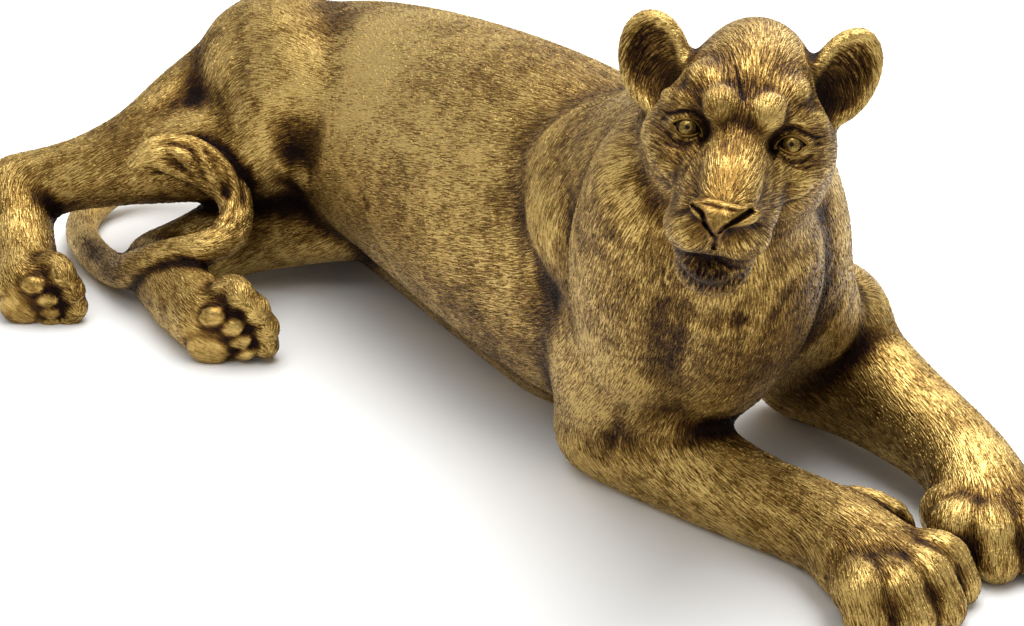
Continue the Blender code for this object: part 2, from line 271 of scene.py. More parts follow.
@dataclass
class Paw:
    """A foot with four toes. Each toe is (to her left, forward) of its tip."""

    centre: tuple
    forward: tuple
    toes: tuple
    up: tuple = (0, 0, 1)
    size: float = 1.0
    arch: float = 0.5
    girth: float = 1.08
    body: tuple = (4.7, 4.5, 2.7)
    web: tuple = (1.9, -0.3, 0.05, 3.5, 5.0, 2.35)
    knuckle: float = 0.66
    toe_girths: tuple = (1.75, 1.92, 1.68, 1.66)
    pad_thickness: float = 0.75
    pads: tuple = ()

    def axes(self) -> np.ndarray:
        """Rows: forward, left, up."""
        ahead = unit(self.forward)
        left = unit(np.cross(self.up, ahead))
        return np.stack([ahead, left, np.cross(ahead, left)])

    def put(self, ahead: float, aside: float, above: float) -> np.ndarray:
        """A place given from the paw's middle in its own axes."""
        return np.array(self.centre) + np.array((ahead, aside, above)) * self.size @ self.axes()

    def masses(self, clays: Clays) -> None:
        """Adds the body of the foot, its toes, the skin between them and the pads.

        Args:
            clays: the clays that they are added to.
        """
        size, axes = self.size, self.axes()
        at_root, at_knuckle, at_dip, at_tip = (share * (size * self.girth) for share in self.toe_girths)
        clays.broad.ball(self.put(0, 0, 0), tuple(np.array(self.body) * size), axes)
        for side, reach in self.toes:
            root = (*self.put(0.8, side * 0.6, 0.4), at_root)
            knuckle = (*self.put(reach * self.knuckle, side * 0.9, self.arch + 0.15), at_knuckle)
            dip = (*self.put(reach * 0.86, side * 0.97, self.arch - 0.55), at_dip)
            tip = (*self.put(reach, side, -0.9), at_tip)
            clays.middle.limb([root, knuckle, dip, tip], up=axes[2])
        clays.middle.ball(self.put(*self.web[:3]), tuple(np.array(self.web[3:]) * size), axes)
        for place, radii, frame in self.bare():
            clays.fine.ball(place, radii, frame)

    def bare(self) -> list:
        """The pads: (centre, radii, axes)."""
        thick = self.pad_thickness
        return [(self.put(ahead, aside, -deep), np.array((long, wide, thick)) * self.size, self.axes())
                for ahead, aside, long, wide, deep in self.pads]


@dataclass
class Foreleg:
    """Shoulder, upper arm, forearm and paw of one side."""

    top: tuple
    shoulder: tuple
    elbow: tuple
    forearm: tuple
    paw: Paw
    blade_sizes: tuple = ((3.2, 5.8, 5.8), (3.9, 6.1, 6.1), (4.3, 4.9, 4.9))
    arm_sizes: tuple = ((4.3, 4.9, 4.9), (4.3, 5.3, 5.3), (3.6, 3.8, 3.8))

    def masses(self, clays: Clays) -> None:
        """Adds the leg's masses.

        Args:
            clays: the clays that they are added to.
        """
        top, shoulder, elbow = (np.array(q, float) for q in (self.top, self.shoulder, self.elbow))
        out = np.sign(shoulder[1] - MIDLINE)
        blade = (top + shoulder) / 2 + (-0.5, out * 1.3, 0)
        arm = (shoulder + elbow) / 2 + (-1, out * 0.5, 0)
        for places, sizes in (((top, blade, shoulder), self.blade_sizes),
                              ((shoulder, arm, elbow), self.arm_sizes)):
            clays.broad.limb([(*place, *size) for place, size in zip(places, sizes)], up=(1, 0, 0))
        clays.broad.limb(self.forearm)
        self.paw.masses(clays)


@dataclass
class Forelegs:
    """Both forelegs, stretched out in front of her with their paws touching."""

    near: Foreleg = field(default_factory=lambda: Foreleg(
        (5, 4, 27), (15, 3.2, 19), (7.2, 4.8, 5.6),
        ((6.4, 4.7, 4.1, 3.6, 3.9, 4.1), (12.4, 6.8, 4.2, 3.8, 4.2, 4.5), (17.6, 8.1, 3.7, 3.3, 3.5, 3.9),
         (22.3, 9.7, 3.3, 3, 3.1, 3.4), (26.8, 11.6, 3, 3.2, 3, 3.2), (30, 12.5, 2.8, 3.6, 3, 3)),
        Paw((33.0, 12.4, 2.5), (0.985, 0.14, -0.04), ((4.1, 4.7), (1.0, 6.3), (-2.2, 6.3), (-4.8, 4.6)))))
    far: Foreleg = field(default_factory=lambda: Foreleg(
        (5, 14, 27), (14, 17.3, 17), (6.6, 22.6, 6.4),
        ((5.1, 24.6, 5.6, 4, 5.6, 5.4), (12, 25.8, 5.9, 3.9, 5.2, 5), (18.2, 26.4, 5.2, 3.4, 3.8, 4.2),
         (23.4, 26.4, 4.7, 3.2, 3.2, 3.6), (27.2, 25.9, 4.3, 3.3, 2.9, 3.4), (30, 25.1, 3.7, 3.4, 2.8, 3.2)),
        Paw((31.6, 24.5, 3.0), (0.97, -0.24, -0.08), ((4.6, 3.6), (1.5, 5.4), (-1.8, 5.2), (-4.4, 3.2)))))

    def masses(self, clays: Clays) -> None:
        """Adds both legs, the dewclaw and the far elbow.

        Args:
            clays: the clays that they are added to.
        """
        self.near.masses(clays)
        self.far.masses(clays)
        clays.broad.ball((9, 25, 10), (5.6, 4.6, 5))
        clays.middle.limb([(25, 13.3, 4.1, 0.9), (27.6, 15.7, 4.3, 1), (29.6, 17.2, 3.8, 0.85)])
        clays.middle.ball((30.8, 21.4, 2.9), (3.0, 2.2, 2.5))
        clays.fine.limb([(29.2, 16.9, 3.9, 0.5), (30.2, 17.5, 3.6, 0.42), (31.0, 17.8, 2.9, 0.16)])


@dataclass
class HindLegs:
    """Both hind legs, laid out to her right with their soles towards the viewer."""

    back_of_foot: tuple = (-0.79, 0.583, 0.217)
    toes: tuple = ((-3.1, 4.2), (-1.05, 5.1), (1.1, 5.2), (3.0, 4.4))
    pads: tuple = (
        (-0.7, 1.3, 2.2, 2.1, 2.2), (1.0, -1.9, 1.4, 1.15, 2.0), (2.4, -0.4, 1.3, 1.0, 2.05),
        (2.65, 1.15, 1.25, 0.95, 2.0), (2.5, 2.8, 1.2, 0.9, 1.8))

    def foot(self, centre: tuple, forward: tuple, size: float) -> Paw:
        """A foot that lies on its outer side, its sole turned to her right."""
        return Paw(centre, forward, self.toes, up=self.back_of_foot, size=size, arch=0.6, girth=0.86,
                   body=(4.2, 3.5, 2.4), web=(1.0, 0.5, -0.8, 3.7, 3.7, 1.75), knuckle=0.58, pads=self.pads)

    def right_foot(self) -> Paw:
        """The foot of the upper, right leg."""
        return self.foot((-45.2, -26.5, 2.9), (0.583, 0.815, -0.068), 0.86)

    def left_foot(self) -> Paw:
        """The foot of the lower, left leg."""
        return self.foot((-28.9, -14.6, 3.3), (0.62, 0.74, 0.27), 0.92)

    def right(self, clays: Clays) -> None:
        """Adds the upper, right leg: haunch, thigh, shank, hock and foot.

        Args:
            clays: the clays that they are added to.
        """
        broad = clays.broad
        broad.limb([
            (-35, 3, 18, 6.5, 6, 6), (-43, 1.5, 18.8, 6.8, 6.8, 7), (-50.5, 1.5, 19.3, 6.2, 6.6, 6.6),
            (-56, 2.5, 15.5, 4.6, 4.6, 4.6)])
        broad.limb([(-51, 0, 19, 5.8, 6.2, 6), (-47, -1.5, 17.5, 5.8, 6.2, 6), (-41, -3, 14.6, 4.4, 5, 5)])
        broad.limb([
            (-54.5, 0, 16.6, 5.2, 5.2, 5.2), (-52, -6.5, 14.6, 5, 4.8, 4.6), (-51.6, -13, 12, 4.2, 3.6, 3.4),
            (-54.8, -20, 9.6, 2.8, 2.4, 2.8)])
        broad.limb([
            (-41, -3, 13.8, 4.2, 4.8, 4.2), (-46, -9, 12.6, 4.2, 4.4, 3.8), (-52, -16.5, 10.5, 3.4, 3.2, 3),
            (-56.6, -22.8, 8.8, 2.8, 2.8, 3)])
        broad.limb([
            (-57.2, -23.6, 8.4, 3, 3.1, 3.2), (-53.4, -24.6, 6.2, 2.7, 2.9, 3),
            (-49.6, -25.6, 4.2, 2.8, 2.8, 3), (-46.4, -26.2, 3.2, 2.6, 2.8, 3)])
        self.right_foot().masses(clays)

    def left(self, clays: Clays) -> None:
        """Adds the lower, left leg, which comes out from under the right one.

        Args:
            clays: the clays that they are added to.
        """
        broad = clays.broad
        broad.limb([(-50, 7, 8, 6, 6, 6), (-43.5, 5.5, 7.5, 5.2, 5.2, 5.2), (-37.5, 2.5, 7, 3.4, 3.8, 3.6)])
        broad.limb([
            (-37.5, 1.5, 7, 3.1, 3.4, 3.4), (-41.3, -1.8, 6.3, 3.7, 4, 4), (-44.4, -5.6, 5, 3.6, 3.8, 3.9),
            (-44.8, -9.6, 3.9, 3.1, 3.2, 3.4), (-45.6, -13.6, 3, 2.6, 2.7, 3)])
        broad.limb([
            (-45.6, -14.2, 3, 2.6, 2.7, 3), (-40.6, -14.9, 3.2, 2.5, 3, 3.2),
            (-35, -15.2, 3.4, 2.6, 3.2, 3.4), (-30.5, -14.8, 3.4, 2.6, 3.2, 3.4)])
        self.left_foot().masses(clays)

    def masses(self, clays: Clays) -> None:
        """Adds both legs."""
        self.right(clays)
        self.left(clays)


@dataclass
class Tail:
    """The tail, which comes round under the right shank and lies over the left one."""

    radius: float = 1.6
    route: tuple = (
        (-56, 4, 16, 1.7), (-61, 1.5, 12, 1.45), (-64.6, -3, 7.6, 1.2), (-66.6, -7.6, 4.2, 1.05),
        (-66, -12.2, 2.2, 1), (-63, -15.2, 1.6, 1), (-58.8, -16.9, 1.6, 1), (-54, -17.6, 1.7, 1),
        (-49.4, -17.6, 1.9, 1.02), (-45.2, -17.4, 2.8, 1.05), (-41.6, -16.9, 4.6, 1.05),
        (-38.2, -15.6, 6.4, 1.05), (-35.6, -13, 7.7, 1.02), (-35.2, -10.6, 8.6, 0.98),
        (-37, -8.9, 9.8, 0.85), (-38.9, -8.7, 11.3, 0.95), (-40, -10, 13.2, 1.1),
        (-41.2, -12.4, 14.7, 1.2), (-42, -14.9, 15, 0.95), (-42.2, -16.8, 14.5, 0.45))
    tuft_start: int = 13
    locks: int = 7
    lock_spacing: float = 2.4
    lock_twist: float = 0.55
    lock_wave: tuple = (0.35, 1.9)
    lock_reach: float = 0.8
    lock_girth: float = 0.6
    lock_tip: float = 0.25

    def masses(self, clays: Clays) -> None:
        """Adds the tail, the wavy locks of its tuft and the rump under its root.

        Args:
            clays: the clays that they are added to.
        """
        clays.middle.limb([(x, y, z, share * self.radius) for x, y, z, share in self.route])
        tuft = np.array(self.route[self.tuft_start:])
        along = unit(np.gradient(tuft[:, :3], axis=0))
        aside = unit(np.cross(TO_VIEWER, along))
        towards = np.cross(along, aside)
        last = len(tuft) - 1
        for k in range(self.locks):
            rows = []
            for i in range(last + 1 - k % 2):
                wave = self.lock_wave[0] * math.sin(self.lock_wave[1] * i + k)
                turn = self.lock_spacing * k + self.lock_twist * i + wave
                out = tuft[i, 3] * self.radius * self.lock_reach
                place = tuft[i, :3] + out * (math.cos(turn) * aside[i] + math.sin(turn) * towards[i])
                girth = self.lock_girth if i < last - k % 2 else self.lock_tip
                rows.append((*place, girth * tuft[i, 3]))
            clays.fine.limb(rows)
        clays.broad.limb([(-56, 2, 8, 4, 6, 6), (-55, -4, 8, 3.5, 4, 4)])


@dataclass
class Head:
    """The head, turned to her right. Its own places are (forward, to her left, up) from between the eyes."""

    eyes_at: tuple = (32.9, -0.9, 38.1)
    face_left: tuple = (0.59, 0.79, -0.12)
    face_forward: tuple = (0.80, -0.59, -0.13)
    eye: tuple = (0.42, 3.38, 0.05)
    eye_radius: float = 0.93
    gaze: tuple = (0.88, 0.03, 0.47)
    ear_spread: dict = field(default_factory=lambda: {RIGHT: 6.5, LEFT: 6.2})
    ear_width: dict = field(default_factory=lambda: {RIGHT: 2.6, LEFT: 2.4})
    cheek: dict = field(default_factory=lambda: {RIGHT: 2.9, LEFT: 3.2})
    ear_drop: dict = field(default_factory=lambda: {RIGHT: 1.65, LEFT: 0.6})
    pad: dict = field(default_factory=lambda: {RIGHT: 1.7, LEFT: 1.9})
    lean: float = 0.5
    lean_below: tuple = (0.8, 1.4)
    lean_ahead: tuple = (2, 4)
    lid_ring: tuple = (
        (1.3, 0.12), (0.98, 0.42), (0.6, 0.62), (0.1, 0.7), (-0.4, 0.66), (-0.8, 0.42), (-1.12, 0.05),
        (-1.3, -0.5), (-0.98, -0.36), (-0.66, -0.55), (-0.2, -0.7), (0.3, -0.72), (0.75, -0.5), (1.02, -0.15))
    lid_ring_radius: float = 1.15
    lid_gap: float = 0.05
    lid_thickness: float = 0.08
    lid_corner: tuple = (0.8, 0.5, 0.1)
    lid_pull: float = 0.42
    lid_wall: float = 0.12
    lid_drop: float = 1.1
    socket_reach: tuple = (3.2, -0.6)
    chin_strands: int = 29
    ear_rows: tuple = (0.5, 0.93, 0.055)

    def axes(self) -> np.ndarray:
        """Rows: forward, left, up.

        Returns:
            Three unit vectors.
        """
        left = unit(self.face_left)
        forward = unit(self.face_forward)
        forward = unit(forward - left * (forward @ left))
        return np.stack([forward, left, np.cross(forward, left)])

    def at(self, forward: float, left: float, up: float) -> np.ndarray:
        """A place given in the head's own axes. The lower face leans a little to her right.

        Args:
            forward: how far it is in front of the eyes.
            left: how far it is to her left.
            up: how far it is above the eyes.

        Returns:
            The place in her own axes.
        """
        below = (-up - self.lean_below[0]) / self.lean_below[1]
        ahead = (forward - self.lean_ahead[0]) / self.lean_ahead[1]
        low = min(max(below, 0), 1) * min(max(ahead, 0), 1)
        return np.array(self.eyes_at) + np.array((forward, left - self.lean * low, up)) @ self.axes()

    def path(self, points: list, side: int) -> list:
        """A list of places, mirrored to the given side."""
        return [tuple(self.at(f, l * side, u)) for f, l, u in points]

    def ball(self, clay: Clay, forward: float, left: float, up: float, radii: tuple) -> None:
        """Adds an ellipsoid that is in line with the head."""
        clay.ball(self.at(forward, left, up), radii, self.axes())

    def limb(self, clay: Clay, rows: list) -> None:
        """Adds a tube whose rows are in the head's own axes."""
        clay.limb([(*self.at(*row[:3]), *row[3:]) for row in rows], up=self.axes()[2], lie=Lie.BARE)

    def masses(self, clays: Clays) -> None:
        """Adds skull, cheeks, muzzle, jaw and ears.

        Args:
            clays: the clays that they are added to.
        """
        broad, middle = clays.broad, clays.middle
        self.ball(broad, -5.5, 0.3, 0.3, (7, 4.0, 4.5))
        self.ball(broad, -5.2, 0, -1.6, (6.8, 5.7, 3.7))
        self.limb(middle, [
            (-2, 0, -1.2, 4.3, 3, 4.2), (1.5, 0, -1.7, 3.9, 2.8, 3.7), (4.2, 0, -2.1, 3.2, 2.5, 3.2),
            (6.4, 0, -2.5, 2.7, 2.1, 2.7), (7.6, 0, -2.7, 2.2, 1.7, 2.2)])
        self.limb(middle, [
            (-2, 0, 0.2, 2.3, 1.8, 2), (2.5, 0, 0.2, 2.1, 1.4, 2), (6, 0, -0.3, 2.0, 1.1, 2),
            (8.2, 0, -1.0, 1.8, 0.85, 1.6)])
        self.limb(middle, [
            (-5, 0, -6, 3, 2, 2), (1, 0, -6.8, 2.7, 1.8, 2.4), (4.4, -0.1, -7.7, 2.55, 1.9, 2.1)])
        self.limb(middle, [(5.3, -1.5, -6.0, 1.2), (6.2, 0, -6.2, 1.5), (5.3, 1.5, -6.0, 1.2)])
        self.ball(middle, 0.7, 0.1, 1.9, (1.3, 1.4, 1.0))
        for side in SIDES:
            self.ball(broad, -2.8, side * self.cheek[side], -2.2, (4.6, 3.1, 4.2))
            self.ball(broad, -6, side * 3.2, -4.5, (4.8, 3.2, 4.4))
            self.ball(middle, 0.8, side * 1.6, 2.2, (1.5, 1.35, 1.45))
            self.ball(middle, -1.9, side * 2.1, 2.85, (2.3, 2.1, 1.0))
            self.ball(middle, 6.7, side * 1.4, -3.5, (2.3, 1.6, 1.6))
            self.ball(middle, 5.9, side * 1.75, -3.9, (2.3, self.pad[side], 1.6))
            for rows in (((0.3, 2.0, 1.5, 0.7), (0.0, 3.5, 1.7, 0.75), (-1.4, 5.0, 1.2, 0.7)),
                         ((2.6, 1.9, -1.5, 1.2), (0.9, 4.0, -2.1, 1.5), (-2, 5.2, -1.8, 1.4))):
                self.limb(middle, [(ahead, side * out, up, girth) for ahead, out, up, girth in rows])
            self.ball(middle, 3.2, side * 2.1, -3.2, (3.0, 1.5, 2.0))
            self.ear(clays, side)
        self.nose(clays)

    def nose(self, clays: Clays) -> None:
        """Adds the nose leather: a wide top edge that narrows down to the lip.

        Args:
            clays: the clays that they are added to.
        """
        self.limb(clays.fine, [
            (8.2, 2.05, -1.15, 0.3), (8.8, 1.4, -1.25, 0.5), (9.15, 0, -1.25, 0.62), (8.8, -1.4, -1.25, 0.5),
            (8.2, -2.05, -1.15, 0.3)])
        self.limb(clays.fine, [
            (9.1, 0, -1.2, 0.95, 0.6, 0.6), (9.3, 0, -1.9, 0.7, 0.5, 0.5), (9.0, 0, -2.9, 0.4, 0.4, 0.4)])

    def ear(self, clays: Clays, side: int) -> None:
        """Adds one ear and hollows it.

        Args:
            clays: the clays that they are added to.
            side: RIGHT or LEFT.
        """
        frame, centre = self.ear_frame(side), self.ear_middle(side)
        wide = self.ear_width[side]
        clays.middle.ball(centre, (1.9, wide, 3.6), frame)
        clays.hollow.ball(centre + frame[0] * 1.95, (2.1, wide + 0.05, 3.6), frame)
        clays.hollow.ball(centre + (0.9, side * -0.6, -1.3) @ frame, (1.7, 1.1, 1.6), frame)
        clays.middle.ball(centre + (-0.2, side * -0.2, -3.0) @ frame, (1.3, 1.3, 1.6), frame)

    def ear_frame(self, side: int) -> np.ndarray:
        """Rows: out of the ear's mouth, across it, up.

        Args:
            side: RIGHT or LEFT.

        Returns:
            Three unit vectors.
        """
        axes = self.axes()
        out = unit(np.array((0.85, side * 0.32, 0.3)) @ axes)
        top = np.array((-0.1, side * 0.45, 1)) @ axes
        top = unit(top - out * (top @ out))
        return np.stack([out, np.cross(top, out), top])

    def ear_middle(self, side: int) -> np.ndarray:
        """The middle of an ear."""
        return self.at(-6.8, side * self.ear_spread[side], 2.6 - self.ear_drop[side])

    def socket(self, side: int) -> np.ndarray:
        """The middle of an eyeball."""
        return self.at(self.eye[0], side * self.eye[1], self.eye[2])

    def eye_axes(self, side: int) -> np.ndarray:
        """Rows: along the gaze, outwards, up.

        Args:
            side: RIGHT or LEFT.

        Returns:
            Three unit vectors.
        """
        gaze = unit(np.array(self.gaze) * (1, side, 1) @ self.axes())
        outwards = self.axes()[1] * side
        outwards = unit(outwards - gaze * (outwards @ gaze))
        over = self.axes()[2]
        over = unit(over - gaze * (over @ gaze) - outwards * (over @ outwards))
        return np.stack([gaze, outwards, over])

    def lid_curve(self, steps: int = 8) -> np.ndarray:
        """The closed edge of the lids, from the eyeball's middle.

        Args:
            steps: points to make for each span.

        Returns:
            Rows of depth along the gaze, outwards and up.
        """
        ring = smooth_path([*self.lid_ring[-1:], *self.lid_ring, *self.lid_ring[:2]], steps)[steps:-steps - 1]
        ring = ring * self.eye_radius / self.lid_ring_radius
        radius = self.eye_radius + self.lid_gap
        flat = np.linalg.norm(ring, axis=1)
        start, deep, fall = self.lid_corner
        depth = np.sqrt(np.maximum(radius**2 - flat**2, 0.1))
        depth = np.where(flat > start, np.maximum(depth, deep - fall * (flat - start)), depth)
        return np.column_stack([depth, ring])

    def open_eyes(self, relief: "Relief") -> None:
        """Draws the skin to the edge of the lids and lets it drop away behind them.

        Args:
            relief: the surface.
        """
        for side in SIDES:
            axes, middle = self.eye_axes(side), self.socket(side)
            local = (relief.places - middle) @ axes.T
            reach, behind = self.socket_reach
            near = np.flatnonzero((np.linalg.norm(local, axis=1) < reach) & (local[:, 0] > behind))
            here = local[near]
            curve = self.lid_curve()
            after = np.roll(curve, -1, axis=0)
            span = (after - curve)[None, :, 1:]
            start = here[:, None, 1:] - curve[None, :, 1:]
            t = np.clip((start * span).sum(2) / (span**2).sum(2), 0, 1)
            apart = np.linalg.norm(start - span * t[..., None], axis=2)
            closest = apart.argmin(1)
            rows = np.arange(len(near))
            edge_depth = curve[closest, 0] + (after - curve)[closest, 0] * t[rows, closest]
            gap = apart.min(1)
            crossing = (curve[None, :, 2] > here[:, None, 2]) != (after[None, :, 2] > here[:, None, 2])
            rise = np.where(np.abs(span[..., 1]) < 1e-9, 1e-9, span[..., 1])
            at = curve[None, :, 1] + (here[:, None, 2] - curve[None, :, 2]) * span[..., 0] / rise
            inside = (crossing & (here[:, None, 1] < at)).sum(1) % 2 == 1
            pull = np.exp(-((gap / self.lid_pull) ** 2))
            outside_depth = here[:, 0] * (1 - pull) + edge_depth * pull
            inside_depth = edge_depth - np.clip(gap / self.lid_wall, 0, 1) * self.lid_drop
            depth = np.where(inside, np.minimum(inside_depth, edge_depth), outside_depth)
            relief.places[near] = middle + np.column_stack([depth, here[:, 1:]]) @ axes

    def swells(self) -> list:
        """Soft rises and hollows of the face.

        Returns:
            The rises and hollows.
        """
        out = []
        for side in SIDES:
            for place, radius, height in (((1.3, 3.4, 0.45), 1.7, -0.35), ((1.7, 2.0, 0.4), 0.9, -0.3)):
                out.append(Swell(tuple(self.at(place[0], place[1] * side, place[2])), radius, height))
            for row in range(3):
                for k in range(4):
                    dot = self.at(8.2 - 0.55 * k, side * (1.15 + 0.42 * k), -2.9 - 0.5 * row + 0.12 * k)
                    out.append(Swell(tuple(dot), 0.3, -0.16))
        return out

    def strokes(self) -> list:
        """Grooves and ridges that the whole face carries.

        Returns:
            The strokes.
        """
        out = []
        for side in SIDES:
            lines = (
                # the brow bump's edges
                ([(0.9, 2.7, 2.8), (1.2, 2.75, 2.1), (1.5, 2.5, 1.5), (1.9, 2.0, 1.1)], 0.6, -0.12),
                ([(-0.2, 0.6, 3.6), (-0.1, 1.6, 3.2), (-0.2, 2.9, 3.0), (-0.6, 3.8, 2.4)], 0.7, -0.05),
                # the lid's fold and the dark line from its outer corner
                ([(1.2, 2.6, 1.05), (0.9, 3.35, 1.35), (0.5, 4.1, 1.1), (0.0, 4.9, 0.65), (-0.6, 5.6, 0.5)],
                 0.22, -0.11),
                ([(0.55, 4.5, 0.3), (0.2, 5.0, 0.28), (-0.2, 5.5, 0.26)], 0.22, -0.13),
                # the inner corner, the folds under the eye and the creases beside the muzzle
                ([(1.6, 2.3, -0.05), (1.9, 2.1, -0.45), (2.1, 1.95, -0.95)], 0.26, -0.16),
                ([(1.5, 2.6, -0.8), (1.4, 3.2, -1.0), (1.2, 3.8, -0.95), (0.8, 4.4, -0.6), (0.3, 5.0, -0.15)],
                 0.24, -0.08),
                ([(1.5, 2.9, -1.6), (1.3, 3.7, -1.65), (0.9, 4.5, -1.3)], 0.22, -0.08),
                ([(1.9, 2.1, 0.4), (2.6, 2.0, -0.5), (3.6, 2.1, -1.3), (4.8, 2.3, -1.8)], 0.6, -0.1),
                ([(0.6, 5.2, -1.6), (1.6, 4.6, -2.9), (2.8, 4.0, -4.0), (4.0, 3.6, -4.6)], 0.7, -0.14),
                ([(8.3, 2.3, -1.4), (7.6, 2.6, -2.2), (6.8, 2.9, -2.9)], 0.5, -0.1))
            out += [Stroke(self.path(path, side), width, height) for path, width, height in lines]
        return out + self.seen_strokes()

    def seen_strokes(self) -> list:
        """Lines of nose, mouth, ears and chin, which differ from side to side.

        Returns:
            The strokes.
        """
        lines = (
            # nostrils, her right one steep and her left one long
            (((8.8, -2.3, -0.85), (8.8, -1.9, -1.15), (8.8, -1.5, -1.5), (8.8, -1.2, -2.1), (8.8, -0.8, -2.7),
              (8.8, -0.55, -3.0)), 0.3, -0.55),
            (((8.8, 1.75, -0.5), (8.8, 1.4, -0.85), (8.8, 0.9, -1.35), (8.8, 0.4, -1.8), (8.8, -0.05, -2.3),
              (8.8, -0.35, -2.8)), 0.34, -0.5),
            # top edge of the nose and the lip's middle
            (((8.5, -2.4, -0.55), (8.5, -1.6, -0.65), (8.5, -0.8, -0.7), (8.5, 0.2, -0.8), (8.5, 1.0, -0.8),
              (8.5, 1.8, -0.3)), 0.3, 0.16),
            (((8.5, -0.5, -3.1), (8.0, -0.5, -3.8), (7.7, -0.5, -4.6)), 0.28, -0.35),
            # mouth, under both pads
            (((7.5, -0.5, -4.8), (7.5, -1.1, -5.05), (7.5, -1.7, -5.15), (7.5, -2.2, -5.15)), 0.3, -0.16),
            (((7.5, -0.5, -4.8), (7.5, 0, -5.2), (7.5, 0.7, -5.5), (7.5, 1.5, -5.55), (7.5, 2.3, -5.3),
              (7.5, 2.8, -4.7), (7.5, 3.3, -3.8)), 0.3, -0.16),
            # tear ducts and the fold down her right cheek
            (((1.5, -2.45, -0.2), (1.5, -2.5, -0.6), (1.5, -2.5, -1.0)), 0.26, -0.18),
            (((1.5, 2.45, 0.0), (1.5, 2.4, -0.35), (1.5, 2.3, -0.8)), 0.26, -0.18),
            (((1, -5.4, -1.0), (1, -4.8, -2.3), (1, -4.0, -4.0), (1, -3.7, -4.6)), 0.6, -0.12),
            # crease of the forehead
            (((0, -0.9, 5.2), (0, -0.5, 3.5), (0, -0.15, 2.2)), 0.2, -0.14))
        out = [Stroke(self.seen(path), width, height, 0.1, True) for path, width, height in lines]
        for k in range(self.chin_strands):
            left = -2.6 + 0.175 * k
            curl = 0.14 * math.sin(2.4 * k)
            high = 0.5 * math.sin(1.7 * k)
            path = ((7.2, left * 0.8 - 0.15, -5.8 + high * 0.5), (6.6, left + curl, -6.8),
                    (6.0, left - curl, -7.9), (5.8, left + curl, -8.7 + high * 0.4))
            out.append(Stroke(self.seen(path), 0.17, 0.18 if k % 2 else -0.13, 0.3, True))
        return out + self.ear_strokes()

    def ear_strokes(self) -> list:
        """Hair inside the ears, in rows that run round with the rim.

        Returns:
            The strokes.
        """
        rims = (
            ((-5.4, -0.6), ((-6.6, -2.6), (-8.5, -0.1), (-8.4, 2.6), (-7.6, 4.2), (-6.3, 4.5), (-4.6, 3.1))),
            ((5.3, 0.0), ((4.3, 3.8), (5.1, 5.2), (6.4, 5.7), (7.5, 5.1), (8.3, 3.7), (8.1, 1.4),
                          (6.9, -1.7))))
        out = []
        for middle, rim in rims:
            for k, share in enumerate(np.arange(*self.ear_rows)):
                path = [(-6.5, *(np.array(middle) + share * (np.array(q) - middle))) for q in rim]
                out.append(Stroke(self.seen(path), 0.17, -0.03 if k % 2 else 0.035, 0.5, True))
        return out

    def seen(self, points: tuple) -> list:
        """Places in the head's own axes, without the lower face's lean."""
        return [tuple(np.array(self.eyes_at) + np.array(q) @ self.axes()) for q in points]


@dataclass
class Folds:
    """Creases, tendons and long strokes of the body, laid on where the viewer sees them, and soft rises."""

    deep: tuple = (
        # beside and under the face
        ((25, -3.4, 34.9), (25, -3.1, 32.7), (25, -2.1, 30.3), (25, -1.5, 27.9), (25, -0.8, 25.5),
         (25, 0, 23.5)),
        ((25, 13.4, 29.6), (25, 11.9, 27.4), (25, 9.8, 25.6), (25, 7.7, 24.1), (25, 6.3, 22.3)),
        ((25, -0.5, 22.6), (25, 2, 21.2), (25, 4.4, 20.9), (25, 6.4, 22)),
        # far armpit
        ((15, 20.9, 17.1), (15, 20.3, 15.1), (15, 19.2, 13.4), (15, 17.4, 11.8), (15, 15.5, 10.7)))
    lines: tuple = (
        # middle of the chest
        ((20, 7.3, 20), (20, 7.4, 17.6), (20, 7.7, 15)),
        # neck
        ((22, 13.2, 25.2), (22, 10.6, 21.4), (22, 9, 18.5), (22, 8, 16.2)),
        ((22, 14.6, 23.8), (22, 13.2, 20.4), (22, 11.8, 17.1)),
        ((22, 15.3, 22), (22, 14.6, 19), (22, 13.2, 15.5)),
        ((20, 3.1, 20.3), (20, 3, 17.9), (20, 2.4, 14.2)),
        # behind the shoulder
        ((0, 3.1, 23.3), (0, 3.7, 18.1), (0, 3.9, 12.6), (0, 4.1, 8.2), (0, 4.3, 4.7)),
        ((0, 2.4, 23), (0, 2.8, 18.2), (0, 3, 13.8)), ((0, 1.6, 21.9), (0, 2.2, 17.5), (0, 2.6, 13)),
        # elbow
        ((8, 3.9, 11.5), (8, 5.5, 8), (8, 4.6, 4.2), (8, 3.7, 2.2)),
        # flank
        ((-30, -0.9, 16.1), (-30, 1.4, 11.7), (-30, 3.9, 6.8), (-30, 7.4, 2.1)))
    tendons: tuple = (
        # far wrist
        ((28, 24.1, 7.6), (28, 25, 4.6)), ((28, 25.4, 7.4), (28, 26.6, 3.9)),
        ((28, 26.7, 6.5), (28, 28, 3.1)))
    deep_cut: tuple = (2.1, -0.4, 0.4)
    line_cut: tuple = (1.1, -0.16, 0.5)
    tendon_cut: tuple = (0.45, -0.12, 0.5)
    # flank hollow, haunch fold, shoulder blade, haunch, upper arm and the chip in the near paw
    rises: tuple = (
        ((-34, -3, 17.5), 5.0, -0.9), ((-35, -4, 13.5), 2.6, 0.5), ((8, -0.5, 24), 5, 0.5),
        ((-40, -4, 19), 5, 0.5), ((17, 2, 13), 4, 0.35), ((38.4, 8.4, 3.6), 0.5, -0.16))

    def strokes(self) -> list:
        """All of them as strokes."""
        sets = ((self.deep, self.deep_cut), (self.lines, self.line_cut), (self.tendons, self.tendon_cut))
        return [Stroke(path, *cut, True) for paths, cut in sets for path in paths]

    def swells(self) -> list:
        """The soft rises and hollows."""
        return [Swell(*place) for place in self.rises]


